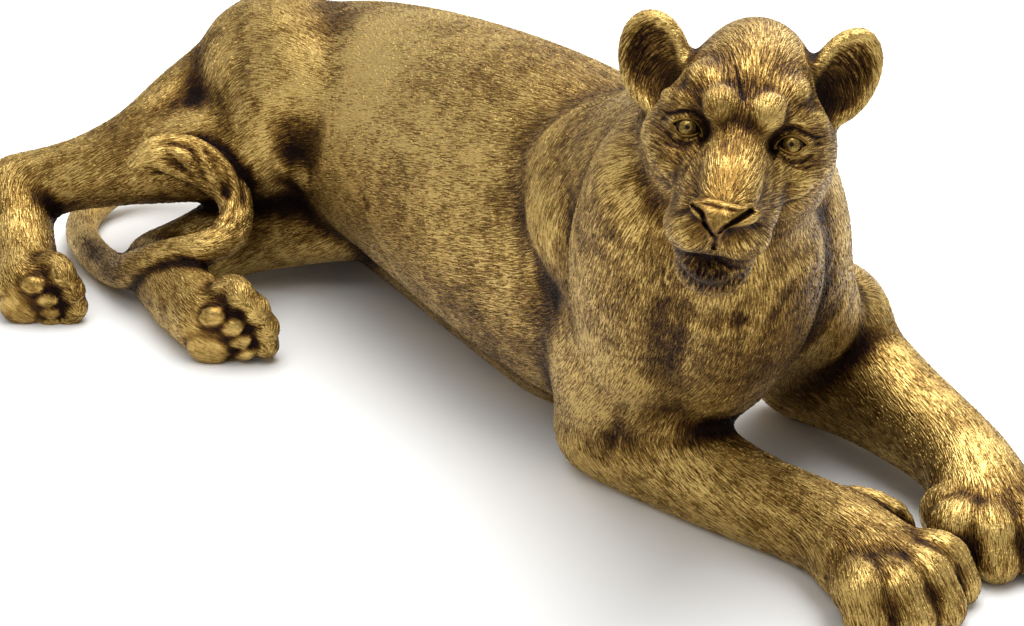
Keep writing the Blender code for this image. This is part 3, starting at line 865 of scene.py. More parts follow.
@dataclass
class Relief:
    """The surface as arrays, and the tools that move it along its normals."""

    mesh: bpy.types.Mesh
    curve_steps: int = 10
    stand_off: float = 12
    end_share: float = 0.15

    def __post_init__(self) -> None:
        """Reads the mesh."""
        self.read()

    def read(self) -> None:
        """Takes places and normals from the mesh and rebuilds the search tree."""
        count = len(self.mesh.vertices)
        self.places = np.empty(count * 3)
        self.mesh.vertices.foreach_get("co", self.places)
        self.places = self.places.reshape(-1, 3)
        self.normals = np.empty(count * 3)
        self.mesh.vertices.foreach_get("normal", self.normals)
        self.normals = self.normals.reshape(-1, 3)
        shell = bmesh.new()
        shell.from_mesh(self.mesh)
        self.tree = BVHTree.FromBMesh(shell)
        shell.free()

    def write(self) -> None:
        """Puts the places back into the mesh."""
        self.mesh.vertices.foreach_set("co", self.places.ravel())
        self.mesh.update()

    def on_surface(self, path: list, seen: bool) -> np.ndarray:
        """A smooth curve along the path, laid on the surface.

        Args:
            path: places on or near the surface.
            seen: whether it lies where the viewer sees it, or at the nearest place.

        Returns:
            Rows of places.
        """
        out = []
        for p in smooth_path(path, self.curve_steps):
            hit = None
            if seen:
                before = Vector(p + np.array(TO_VIEWER) * self.stand_off)
                hit = self.tree.ray_cast(before, -Vector(TO_VIEWER))[0]
            hit = hit or self.tree.find_nearest(Vector(p))[0]
            out.append(hit)
        return np.array(out, float)

    def carve(self, stroke: Stroke) -> None:
        """Moves the surface along one stroke.

        Args:
            stroke: the groove or the ridge.
        """
        curve = self.on_surface(stroke.path, stroke.seen)
        low, high = curve.min(0) - stroke.width, curve.max(0) + stroke.width
        near = np.flatnonzero(np.all((self.places > low) & (self.places < high), axis=1))
        if not len(near):
            return
        apart = np.linalg.norm(self.places[near][:, None] - curve[None], axis=2)
        closest = apart.argmin(1)
        along = closest / (len(curve) - 1)
        fade = np.clip(np.minimum(along, 1 - along) / stroke.fade + self.end_share, 0, 1)
        share = np.clip(1 - (apart.min(1) / stroke.width) ** 2, 0, 1) ** 2
        way = np.array(TO_VIEWER) if stroke.seen else self.normals[near]
        self.places[near] += way * (stroke.height * share * fade)[:, None]

    def swell(self, swell: Swell) -> None:
        """Moves the surface round one place."""
        apart = np.linalg.norm(self.places - np.array(swell.centre), axis=1)
        share = np.clip(1 - (apart / swell.radius) ** 2, 0, 1) ** 2
        self.places += self.normals * (swell.height * share)[:, None]


def new_object(name: str, *meshes: bpy.types.Mesh) -> bpy.types.Object:
    """An object that holds the given meshes as one; the meshes go.

    Args:
        name: the object's name.
        meshes: what it is made of.

    Returns:
        The object, linked to the scene.
    """
    joined = bmesh.new()
    for mesh in meshes:
        joined.from_mesh(mesh)
        bpy.data.meshes.remove(mesh)
    mesh = bpy.data.meshes.new(name)
    joined.to_mesh(mesh)
    joined.free()
    item = bpy.data.objects.new(name, mesh)
    bpy.context.scene.collection.objects.link(item)
    return item


def take_mesh(item: bpy.types.Object) -> bpy.types.Mesh:
    """The object's mesh as its modifiers leave it; the object goes.

    Args:
        item: the object.

    Returns:
        The mesh.
    """
    graph = bpy.context.evaluated_depsgraph_get()
    mesh = bpy.data.meshes.new_from_object(item.evaluated_get(graph))
    for modifier in item.modifiers:
        if modifier.type == "BOOLEAN":
            bpy.data.objects.remove(modifier.object, do_unlink=True)
    bpy.data.objects.remove(item, do_unlink=True)
    return mesh


@dataclass
class Foundry:
    """Turns the clays into one closed surface."""

    broad_grain: float = 0.5
    broad_rounds: int = 56
    broad_regain: float = 0.55
    middle_grain: float = 0.3
    middle_rounds: int = 12
    fine_grain: float = 0.2
    fine_rounds: int = 2

    def fuse(self, item: bpy.types.Object, grain: float) -> None:
        """Melts overlapping shells into one."""
        mould = item.modifiers.new("fuse", "REMESH")
        mould.mode = "VOXEL"
        mould.voxel_size = grain

    def soften(self, item: bpy.types.Object, rounds: int, regain: float = 0) -> None:
        """Lets the masses flow into each other, then gives back what that took off.

        Args:
            item: the object.
            rounds: how many times it is smoothed.
            regain: how far the surface is moved out again.
        """
        smooth = item.modifiers.new("soften", "SMOOTH")
        smooth.factor = 0.5
        smooth.iterations = rounds
        if regain:
            swell = item.modifiers.new("regain", "DISPLACE")
            swell.mid_level = 0
            swell.strength = regain

    def cut(self, item: bpy.types.Object, cutter: bpy.types.Object) -> None:
        """Takes one form out of another.

        Args:
            item: the object.
            cutter: the object that is taken out; it goes later.
        """
        carve = item.modifiers.new("cut", "BOOLEAN")
        carve.operation = "DIFFERENCE"
        carve.solver = "EXACT"
        carve.object = cutter

    def cast(self, clays: Clays) -> bpy.types.Mesh:
        """The closed surface of all the clays, before it is chased.

        Args:
            clays: the clays that they are added to.

        Returns:
            The mesh, in her own units.
        """
        body = new_object("body", clays.broad.mesh())
        self.fuse(body, self.broad_grain)
        self.soften(body, self.broad_rounds, self.broad_regain)
        LOG.info("broad masses")
        body = new_object("body", take_mesh(body), clays.middle.mesh())
        self.fuse(body, self.middle_grain)
        self.cut(body, new_object("hollow", clays.hollow.mesh()))
        self.fuse(body, self.fine_grain)
        self.soften(body, self.middle_rounds)
        LOG.info("middle masses")
        body = new_object("body", take_mesh(body), clays.fine.mesh())
        self.fuse(body, self.fine_grain)
        self.soften(body, self.fine_rounds)
        mesh = take_mesh(body)
        LOG.info("fine masses: %d faces", len(mesh.polygons))
        return mesh


@dataclass
class Casting:
    """The whole figure as one closed surface in metres, with what its finish and its coat need to know."""

    head: Head
    hind: HindLegs
    folds: Folds
    clays: Clays
    box: tuple
    unit_metres: float = 0.01032917
    middle: tuple = (-13.544058, 0.268125, 0)
    inset: float = 0.0006
    triangles: int = 190000
    face_middle: tuple = (3.0, 0, -1.5)
    face_reach_squared: float = 102.4
    face_back: float = -4.5
    sole: float = 0.08
    thinning: tuple = (0.6, 0.3, 0.12, 0.35, 1.0, 0.9)
    rays: int = 8
    ray_reach: float = 0.09
    ray_lift: float = 0.0015
    ray_tilt: float = 1.05
    coat_seams: tuple = (-36.6, 3.3)
    coat_droop: float = -0.22
    guide_blend: float = 0.15
    muzzle_reach: float = 13
    muzzle_pull: tuple = (1.35, 1.4)
    ear_reach: tuple = (2.4, 2.6, 3.6)
    ear_pivot: tuple = (1.6, 2.4)
    ear_lift: float = 0.3
    ear_edge: tuple = (1.6, 0.4)
    calm_edge: tuple = (1.3, 0.6)
    pad_spread: float = 1.3
    hair_floor: tuple = (0.25, 0.5)
    hair_under: float = -0.93
    hair_eyes: tuple = (1.5, 0.6)
    hair_nose: tuple = (0.9, 0.2)
    nose_radii: tuple = (1.2, 2.1, 1.5)
    calm_hair: float = 0.85
    head_coat: tuple = (14, 3)
    chunk: int = 4000
    small_hollows: tuple = (5, 12, -0.4)
    large_hollows: tuple = (50, 2.5, -0.2)
    deepest: float = 1.4
    name: str = "lioness_casting"

    def to_metres(self, places: np.ndarray) -> np.ndarray:
        """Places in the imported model's frame."""
        return (np.asarray(places, float) - self.middle) * self.unit_metres

    def refine_face(self, mesh: bpy.types.Mesh) -> None:
        """Halves the faces on the front of the head, for finer chasing.

        Args:
            mesh: the casting's mesh.
        """
        axes = self.head.axes()
        centre = self.head.at(*self.face_middle)
        shell = bmesh.new()
        shell.from_mesh(mesh)
        edges = []
        for edge in shell.edges:
            away = np.array(edge.verts[0].co) - centre
            if away @ away < self.face_reach_squared and away @ axes[0] > self.face_back:
                edges.append(edge)
        bmesh.ops.subdivide_edges(shell, edges=edges, cuts=1, use_grid_fill=True)
        shell.to_mesh(mesh)
        shell.free()

    def flatten(self, relief: Relief) -> None:
        """Makes the underside one flat face on the floor."""
        relief.places[relief.places[:, 2] < self.sole, 2] = 0

    def thin(self, mesh: bpy.types.Mesh) -> bpy.types.Mesh:
        """Takes faces away where they show least, and keeps the most on the head and the feet.

        Args:
            mesh: the casting's mesh.

        Returns:
            The thinned mesh.
        """
        item = new_object("thin", mesh)
        mesh = item.data
        count = len(mesh.vertices)
        places = np.empty(count * 3)
        mesh.vertices.foreach_get("co", places)
        places = places.reshape(-1, 3)
        face = np.linalg.norm(places - self.head.at(2.5, 0, -1.5), axis=1)
        anywhere, on_head, on_face, on_paws, on_floor, on_far_side = self.thinning
        x, y, z = places.T
        weight = np.full(count, anywhere)
        weight[face < 14] = on_head
        weight[face < 8.5] = on_face
        weight[(x > 24) & (z < 9)] = on_paws
        weight[z < 0.05] = on_floor
        weight[(y > 14) & (x < 5)] = on_far_side
        group = item.vertex_groups.new(name="thin")
        for value in np.unique(weight):
            group.add(np.flatnonzero(weight == value).tolist(), float(value), "REPLACE")
        mesh.calc_loop_triangles()
        reduce = item.modifiers.new("thin", "DECIMATE")
        reduce.ratio = self.triangles / len(mesh.loop_triangles)
        reduce.use_collapse_triangulate = True
        reduce.vertex_group = "thin"
        reduce.vertex_group_factor = 1.0
        return take_mesh(item)

    def coat_directions(self, places: np.ndarray, normals: np.ndarray) -> np.ndarray:
        """The lie of the coat at each place: along the limbs, back from the nose, and down the sides.

        Args:
            places: in her own units.
            normals: of the surface there.

        Returns:
            Unit vectors in the surface.
        """
        guides = self.clays.coat()
        nose = self.head.at(8.6, 0, -1.2)
        out = np.empty_like(places)
        for start in range(0, len(places), self.chunk):
            p = places[start:start + self.chunk]
            away = p[:, None] - guides[None, :, :3]
            share = 1 / (self.guide_blend + (away**2).sum(2) / (guides[:, 6] ** 2)) ** 3
            lie = share @ guides[:, 3:6] / share.sum(1, keepdims=True)
            lie = lie + (0, 0, self.coat_droop)
            from_nose = p - nose
            apart = np.linalg.norm(from_nose, axis=1, keepdims=True)
            pull = np.clip(self.muzzle_pull[0] - apart / self.muzzle_reach, 0, 1)
            lie = unit(lie) * (1 - pull) + from_nose / np.maximum(apart, 1e-6) * pull * self.muzzle_pull[1]
            for side in SIDES:
                frame, middle = self.head.ear_frame(side), self.head.ear_middle(side)
                ear = (p - middle) @ frame.T
                rise, run = ear[:, 2] + self.ear_pivot[1], -ear[:, 1] - side * self.ear_pivot[0]
                around = unit(np.column_stack([self.ear_lift * np.ones(len(p)), rise, run])) @ frame
                edge, soft = self.ear_edge
                inside = np.clip(edge - np.linalg.norm(ear / self.ear_reach, axis=1), 0, soft)[:, None] / soft
                lie = lie * (1 - inside) + around * -side * inside
            n = normals[start:start + self.chunk]
            lie = lie - n * (lie * n).sum(1, keepdims=True)
            out[start:start + self.chunk] = unit(lie)
        return out

    def hollowness(self, relief: Relief, rounds: int, gain: float, lowest: float) -> np.ndarray:
        """How far each place lies under the surface's average round it.

        Args:
            relief: the surface.
            rounds: how many times it is smoothed.
            gain: how strongly a hollow counts.
            lowest: the least that is given.

        Returns:
            One value for each vertex, above 0 in a hollow.
        """
        edges = np.empty(len(relief.mesh.edges) * 2, int)
        relief.mesh.edges.foreach_get("vertices", edges)
        one, two = edges.reshape(-1, 2).T
        places = relief.places
        count = len(places)
        ways = np.bincount(one, minlength=count) + np.bincount(two, minlength=count)
        smooth = places.copy()
        for _ in range(rounds):
            total = np.empty_like(smooth)
            for k in range(3):
                total[:, k] = np.bincount(one, smooth[two, k], count)
                total[:, k] += np.bincount(two, smooth[one, k], count)
            smooth = 0.4 * smooth + 0.6 * total / ways[:, None]
        return np.clip(((smooth - places) * relief.normals).sum(1) * gain, lowest, self.deepest)

    def occlusion_shade(self, tree: BVHTree, places: np.ndarray, normals: np.ndarray) -> np.ndarray:
        """The share of short rays from each place that meet the figure again, which the finish paints as
        shade.

        Args:
            tree: the search tree of the surface.
            places: places on the surface.
            normals: the surface's normals there.

        Returns:
            One value for each vertex, 0 to 1.
        """
        rng = np.random.default_rng(7)
        rays = unit(rng.normal(size=(self.rays, 3)))
        out = np.zeros(len(places))
        for i, (p, n) in enumerate(zip(places, normals)):
            start = Vector(p + n * self.ray_lift)
            hits = 0
            for ray in rays:
                way = Vector(ray + n * self.ray_tilt)
                if tree.ray_cast(start, way, self.ray_reach)[0] is not None:
                    hits += 1
            out[i] = hits / self.rays
        return out

    def build(self) -> bpy.types.Object:
        """Casts, chases, thins and places the figure.

        Returns:
            The object, linked to the scene.
        """
        mesh = Foundry().cast(self.clays)
        self.refine_face(mesh)
        relief = Relief(mesh)
        LOG.info("face refined: %d vertices", len(mesh.vertices))
        for swell in self.head.swells() + self.folds.swells():
            relief.swell(swell)
        for stroke in self.head.strokes() + self.folds.strokes():
            relief.carve(stroke)
        self.head.open_eyes(relief)
        self.flatten(relief)
        relief.write()
        LOG.info("chased")
        mesh = self.thin(mesh)
        LOG.info("thinned to %d triangles", len(mesh.polygons))
        relief = Relief(mesh)
        lie = self.coat_directions(relief.places, relief.normals)
        small = self.hollowness(relief, *self.small_hollows)
        large = self.hollowness(relief, *self.large_hollows)
        LOG.info("coat and hollows")
        metres = self.to_metres(relief.places)
        low, high = (np.array(corner) for corner in self.box)
        metres = np.clip(metres, low + (self.inset, self.inset, 0), high - self.inset)
        relief.places = metres
        relief.write()
        relief.read()
        # painted shade: how closed in each place is, to darken under the belly, in the armpits and between
        # the toes
        occlusion_shade_values = self.occlusion_shade(relief.tree, relief.places, relief.normals)
        LOG.info("occlusion_shade")
        self.places = relief.places / self.unit_metres + self.middle
        self.normals = relief.normals
        self.calm = self.calm_places(self.places)
        # besides the patina of the hollows, these carry painted shade where short rays meet the figure again,
        # and painted highlights and shade at listed spots
        values_of = {"recess_small": small, "recess_large": large, "occlusion_shade": occlusion_shade_values, "calm": self.calm,
                     "rub": self.painted_light_spots(self.places)}
        for name, values in values_of.items():
            mesh.attributes.new(name, "FLOAT", "POINT").data.foreach_set("value", values)
        mesh.attributes.new("coat_lie", "FLOAT_VECTOR", "POINT").data.foreach_set("vector", lie.ravel())
        mesh.name = self.name
        item = bpy.data.objects.new(self.name, mesh)
        bpy.context.scene.collection.objects.link(item)
        mesh.shade_smooth()
        self.item = item
        return item

    def calm_places(self, places: np.ndarray) -> np.ndarray:
        """How smooth the surface is left: brow bumps, nose and the feet's pads.

        Args:
            places: places on the surface.

        Returns:
            One value for each place, 0 to 1.
        """
        axes = self.head.axes()
        spots = [(self.head.at(1.7, side * 1.55, 2.2), (0.9, 0.8, 0.9), axes, 0.6) for side in SIDES]
        spots.append((self.head.at(9.0, 0, -1.6), (1.3, 2.2, 1.3), axes, 0.8))
        spots.append((self.head.at(5.0, -0.2, -0.2), (4.0, 1.4, 1.6), axes, 0.45))
        spots += [(centre, np.array(radii) * self.pad_spread, frame, 0.95)
                  for centre, radii, frame in self.hind.right_foot().bare() + self.hind.left_foot().bare()]
        out = np.zeros(len(places))
        for centre, radii, frame, most in spots:
            apart = np.linalg.norm((places - centre) @ frame.T / radii, axis=1)
            out = np.maximum(out, most * np.clip((self.calm_edge[0] - apart) / self.calm_edge[1], 0, 1))
        return out

    def painted_light_spots(self, places: np.ndarray) -> np.ndarray:
        """Painted highlights, above 0, and painted shade, below 0, as (place, radius, amount).

        Args:
            places: places on the surface.

        Returns:
            One value for each place.
        """
        head = self.head
        spots = [
            # painted highlights on haunch, back, chest and forelegs
            ((-30, 1.5, 25), 7, 0.5), ((-38, -5, 20), 5, 0.15), ((-42, -5, 14.6), 3, 0.35),
            ((-8, -1, 24), 7, 0.25), ((-23, 2, 27), 9, 0.2), ((18, 2, 13), 4, 0.1), ((18, 8, 8), 4, 0.25),
            ((29, 25, 7), 2.5, 0.5), ((37, 14, 4.7), 1.8, 0.2), ((38, 8.5, 4), 1.8, 0.15),
            ((13.3, 2.6, 7.2), 2.5, 0.35),
            # painted shade on neck, belly and legs
            ((21, 9, 18), 7, -0.45), ((20, 14, 17), 5, -0.5), ((28, 7, 22), 5, -0.35),
            ((22.3, -4.5, 26), 5, -0.3), ((-5, 0, 7), 6, -0.3), ((-30, -14, 3), 5, -0.35),
            ((-44, -26, 4), 6, -0.2), ((14, 10, 8), 4, -0.4), ((6, -1, 16), 3, -0.2),
            ((-36, -3, 11), 5, -0.2), ((-8, 10, 30), 8, -0.2), ((-38, -14, 7), 4, -0.2),
            ((-48, -17, 11), 6, -0.2), ((19, 25, 9), 6, -0.15), ((35, 11.5, 5), 4.5, -0.2),
            ((34, 25, 4), 4, -0.15), ((-41, -12.4, 14.7), 4, -0.2),
            # painted shade on mouth, under the chin, on bridge, forehead and nose
            (head.at(8, 0, -4.4), 3, -0.25), (head.at(6.5, -0.2, -7.1), 2.4, -0.75),
            (head.at(4, 0, 0), 5, -0.1), (head.at(-1, 0, 4), 4, -0.1), (head.at(9, -0.1, -1.9), 1.6, -0.35)]
        # painted shade in the pits of the ears and round the eyes
        for side in SIDES:
            pit = (0, side * -1.1, -2.0) @ head.ear_frame(side)
            spots.append((head.ear_middle(side) + pit, 1.7, -0.5))
        spots += [(head.socket(side), 2.1, -0.4) for side in SIDES]
        out = np.zeros(len(places))
        for centre, radius, amount in spots:
            apart = np.linalg.norm(places - np.array(centre), axis=1) / radius
            out += amount * np.exp(-apart**2)
        return out

    def coat_parts(self) -> dict:
        """How thickly each part of the coat covers each vertex, by the part's name.

        Returns:
            One value for each vertex, 0 to 1, under each part's name.
        """
        p, n, head = self.places, self.normals, self.head

        def past(distance: np.ndarray, edge: tuple) -> np.ndarray:
            """Grows from 0 at the edge to 1 over its softness."""
            return np.clip((distance - edge[0]) / edge[1], 0, 1)

        haired = past(p[:, 2], self.hair_floor) * (n[:, 2] > self.hair_under)
        eyes = np.array([head.socket(side) for side in SIDES])
        haired *= past(np.linalg.norm(p[:, None] - eyes, axis=2).min(1), self.hair_eyes)
        from_nose = (p - head.at(9.0, 0, -1.7)) @ head.axes().T / self.nose_radii
        haired *= past(np.linalg.norm(from_nose, axis=1), self.hair_nose)
        haired *= 1 - self.calm_hair * self.calm
        from_head = np.linalg.norm(p - head.at(-1.0, 0, -2.0), axis=1)
        on_head = np.clip((self.head_coat[0] - from_head) / self.head_coat[1], 0, 1)
        body = haired * (1 - on_head)
        rear, front = p[:, 0] < self.coat_seams[0], p[:, 0] > self.coat_seams[1]
        return {"coat_of_head": haired * on_head, "coat_of_front": body * front,
                "coat_of_trunk": body * (~rear & ~front), "coat_of_rear": body * rear}


@dataclass
class NodeBench:
    """Places nodes in a tree and joins them."""

    tree: bpy.types.NodeTree

    def add(self, kind: str, settings: dict | None = None, **inputs: object) -> bpy.types.Node:
        """Adds a node.

        Args:
            kind: the node's type name.
            settings: its properties.
            inputs: values or sockets, by the input's name with underscores for spaces, or by place as _0, _1.

        Returns:
            The node.
        """
        node = self.tree.nodes.new(kind)
        for key, value in (settings or {}).items():
            setattr(node, key, value)
        for key, value in inputs.items():
            spot = int(key[1:]) if key[0] == "_" and key[1:].isdigit() else key.replace("_", " ")
            socket = node.inputs[spot]
            if isinstance(value, bpy.types.NodeSocket):
                self.tree.links.new(value, socket)
            else:
                socket.default_value = value
        return node

    def math(self, operation: str, *values: object) -> bpy.types.NodeSocket:
        """A Math node's result."""
        inputs = {f"_{i}": v for i, v in enumerate(values)}
        return self.add("ShaderNodeMath", {"operation": operation}, **inputs).outputs[0]

    def vector(self, operation: str, *values: object) -> bpy.types.NodeSocket:
        """A Vector Math node's result.

        Args:
            operation: the node's operation.
            values: its inputs, as numbers or sockets.

        Returns:
            The result's socket.
        """
        node = self.add("ShaderNodeVectorMath", {"operation": operation})
        for i, value in enumerate(values):
            spot = "Scale" if operation == "SCALE" and i == 1 else i
            if isinstance(value, bpy.types.NodeSocket):
                self.tree.links.new(value, node.inputs[spot])
            else:
                node.inputs[spot].default_value = value
        return node.outputs[0]

    def fit(self, value: object, *ends: float) -> bpy.types.NodeSocket:
        """A value mapped from its two ends to 0 and 1, or to the two ends given last, and held there."""
        low, high, to_low, to_high = ends if len(ends) == 4 else (*ends, 0, 1)
        return self.add("ShaderNodeMapRange", {"clamp": True}, Value=value, From_Min=low, From_Max=high,
                        To_Min=to_low, To_Max=to_high).outputs[0]

    def mix(self, share: object, one: object, two: object) -> bpy.types.NodeSocket:
        """A colour between two colours."""
        settings = {"data_type": "RGBA", "clamp_factor": True}
        return self.add("ShaderNodeMix", settings, _0=share, _6=one, _7=two).outputs[2]

    def attribute(self, name: str, output: str = "Fac") -> bpy.types.NodeSocket:
        """What a piece carries under a name, read in a material."""
        return self.add("ShaderNodeAttribute", {"attribute_name": name}).outputs[output]

    def noise(self, place: object, scale: object, detail: float,
              roughness: float = 0.5) -> bpy.types.NodeSocket:
        """Noise over a place."""
        return self.add("ShaderNodeTexNoise", {"noise_dimensions": "3D"}, Vector=place, Scale=scale,
                        Detail=detail, Roughness=roughness).outputs[0]


@dataclass(frozen=True)
class BrushedCoat:
    """Short strokes along the coat, as a shader node group that gives a height and a tone."""

    stretch: int = 4
    step: float = 0.00075
    fineness: float = 1000
    height_ends: tuple = (0.42, 0.58)

    def group(self) -> bpy.types.NodeTree:
        """Builds the group.

        Returns:
            The node group.
        """
        tree = bpy.data.node_groups.new("brushed_coat", "ShaderNodeTree")
        tree.interface.new_socket("Lie", in_out="INPUT", socket_type="NodeSocketVector")
        for name, value in (("Fineness", self.fineness), ("Step", self.step)):
            socket = tree.interface.new_socket(name, in_out="INPUT", socket_type="NodeSocketFloat")
            socket.default_value = value
        for name in ("Height", "Tone"):
            tree.interface.new_socket(name, in_out="OUTPUT", socket_type="NodeSocketFloat")
        bench = NodeBench(tree)
        given = bench.add("NodeGroupInput")
        result = bench.add("NodeGroupOutput")
        place = bench.add("ShaderNodeTexCoord").outputs["Object"]
        stride = bench.vector("SCALE", given.outputs["Lie"], given.outputs["Step"])
        total = None
        for k in range(-self.stretch, self.stretch + 1):
            here = bench.vector("ADD", place, bench.vector("SCALE", stride, float(k)))
            value = bench.noise(here, given.outputs["Fineness"], 0.0)
            total = value if total is None else bench.math("ADD", total, value)
        share = bench.math("DIVIDE", total, float(2 * self.stretch + 1))
        tree.links.new(bench.fit(share, *self.height_ends), result.inputs["Height"])
        tree.links.new(share, result.inputs["Tone"])
        return tree


@dataclass(frozen=True)
class OldGold:
    """Old gold over dark patina, brown in its hollows, with painted highlights and painted shade laid over
    it.
    """

    name: str = "old_gold"
    deep: tuple = (0.010, 0.004, 0.003, 1)
    brown: tuple = (0.066, 0.029, 0.006, 1)
    gold: tuple = (0.25, 0.142, 0.030, 1)
    pale: tuple = (0.66, 0.46, 0.15, 1)
    colour_ends: tuple = ((-0.6, 0.05), (0.0, 0.55), (0.5, 1.0))
    metallic: float = 0.92
    roughness: tuple = (-0.4, 1.2, 0.58, 0.33)
    blotch: tuple = (60.0, 4.0, 0.65, 1.15)
    cloud: tuple = (14.0, 3.0, 0.6, 1.0)
    stroke_ends: tuple = (0.40, 0.60, -0.46, 0.46)
    occlusion_shade_ends: tuple = (0.3, 1.0, 0, 0.6)
    hollow_shares: tuple = (0.85, 0.42)
    level: float = 0.38
    lock_share: float = 0.6
    calm_stroke: float = 0.8
    calm_level: float = 0.1
    calm_bump: float = 0.5
    bump: float = 0.6
    bump_height: float = 0.0007

    def mottle(self, bench: NodeBench, place: bpy.types.NodeSocket) -> bpy.types.NodeSocket:
        """Blotches and clouds of the patina, about nothing.

        Args:
            bench: the material's bench.
            place: where it hangs, in metres.

        Returns:
            The sum's socket.
        """
        waves = []
        for scale, detail, roughness, share in (self.blotch, self.cloud):
            noise = bench.noise(place, scale, detail, roughness)
            waves.append(bench.math("MULTIPLY", bench.math("SUBTRACT", noise, 0.5), share))
        return bench.math("ADD", *waves)

    def shade(self, bench: NodeBench, brushed: bpy.types.Node,
              calm: bpy.types.NodeSocket) -> bpy.types.NodeSocket:
        """How bright the gold is, from deep patina and painted shade below nothing to pale gold and painted
        highlights above one.

        Args:
            bench: the material's bench.
            brushed: the placed node group of the brushed coat.
            calm: how smooth the surface is left.

        Returns:
            The level.
        """
        place = bench.add("ShaderNodeTexCoord").outputs["Object"]
        small = bench.math("MULTIPLY", bench.attribute("recess_small"), self.hollow_shares[0])
        large = bench.math("MULTIPLY", bench.attribute("recess_large"), self.hollow_shares[1])
        # painted shade where short rays meet the figure again
        occlusion_shade_values = bench.fit(bench.attribute("occlusion_shade"), *self.occlusion_shade_ends)
        dark = bench.math("ADD", bench.math("ADD", small, large), occlusion_shade_values)
        stroke = bench.fit(brushed.outputs["Tone"], *self.stroke_ends)
        kept = bench.math("SUBTRACT", 1.0, bench.math("MULTIPLY", calm, self.calm_stroke))
        level = bench.math("ADD", bench.math("MULTIPLY", stroke, kept), self.mottle(bench, place))
        level = bench.math("ADD", level, self.level)
        level = bench.math("ADD", level, bench.math("MULTIPLY", calm, self.calm_level))
        # painted highlights and painted shade, spot by spot
        level = bench.math("ADD", level, bench.attribute("rub"))
        lock = bench.math("MULTIPLY", bench.attribute("lock_tone"), self.lock_share)
        level = bench.math("ADD", level, lock)
        return bench.math("SUBTRACT", level, dark)

    def material(self, strokes: bpy.types.NodeTree) -> bpy.types.Material:
        """Builds the finish.

        Args:
            strokes: the brushed coat's node group.

        Returns:
            The material.
        """
        material = bpy.data.materials.new(self.name)
        material.use_nodes = True
        bench = NodeBench(material.node_tree)
        shader = material.node_tree.nodes["Principled BSDF"]
        lie = bench.attribute("coat_lie", "Vector")
        brushed = bench.add("ShaderNodeGroup", {"node_tree": strokes}, Lie=lie)
        calm = bench.attribute("calm")
        level = self.shade(bench, brushed, calm)
        colour = self.deep
        for ends, next_colour in zip(self.colour_ends, (self.brown, self.gold, self.pale)):
            colour = bench.mix(bench.fit(level, *ends), colour, next_colour)
        links = material.node_tree.links
        links.new(colour, shader.inputs["Base Color"])
        links.new(bench.fit(level, *self.roughness), shader.inputs["Roughness"])
        strength = bench.math("SUBTRACT", self.bump, bench.math("MULTIPLY", calm, self.calm_bump))
        bump = bench.add("ShaderNodeBump", Strength=strength, Distance=self.bump_height,
                         Height=brushed.outputs["Height"])
        links.new(bump.outputs[0], shader.inputs["Normal"])
        shader.inputs["Metallic"].default_value = self.metallic
        return material


@dataclass(frozen=True)
class EyeGold:
    """Polished gold of the eyeballs, darker in the pupil and round the iris."""

    name: str = "eye_gold"
    dark: tuple = (0.02, 0.01, 0.006, 1)
    iris: tuple = (0.36, 0.24, 0.055, 1)
    white: tuple = (0.09, 0.05, 0.016, 1)
    fleck: tuple = (900.0, 2.0)
    fleck_ends: tuple = (0.35, 0.65)
    pupil_ends: tuple = (9, 11)
    iris_ends: tuple = (35, 40.5)
    white_ends: tuple = (46, 52)
    metallic: float = 0.85
    roughness: float = 0.3

    def material(self) -> bpy.types.Material:
        """Builds the finish.

        Returns:
            The material.
        """
        material = bpy.data.materials.new(self.name)
        material.use_nodes = True
        bench = NodeBench(material.node_tree)
        shader = material.node_tree.nodes["Principled BSDF"]
        angle = bench.attribute("eye_angle")
        fleck = bench.noise(bench.add("ShaderNodeTexCoord").outputs["Object"], *self.fleck)
        colour = bench.mix(bench.fit(fleck, *self.fleck_ends), self.white, self.iris)
        colour = bench.mix(bench.fit(angle, *self.pupil_ends), self.dark, colour)
        colour = bench.mix(bench.fit(angle, *self.iris_ends), colour, self.dark)
        colour = bench.mix(bench.fit(angle, *self.white_ends), colour, self.white)
        material.node_tree.links.new(colour, shader.inputs["Base Color"])
        shader.inputs["Metallic"].default_value = self.metallic
        shader.inputs["Roughness"].default_value = self.roughness
        return material


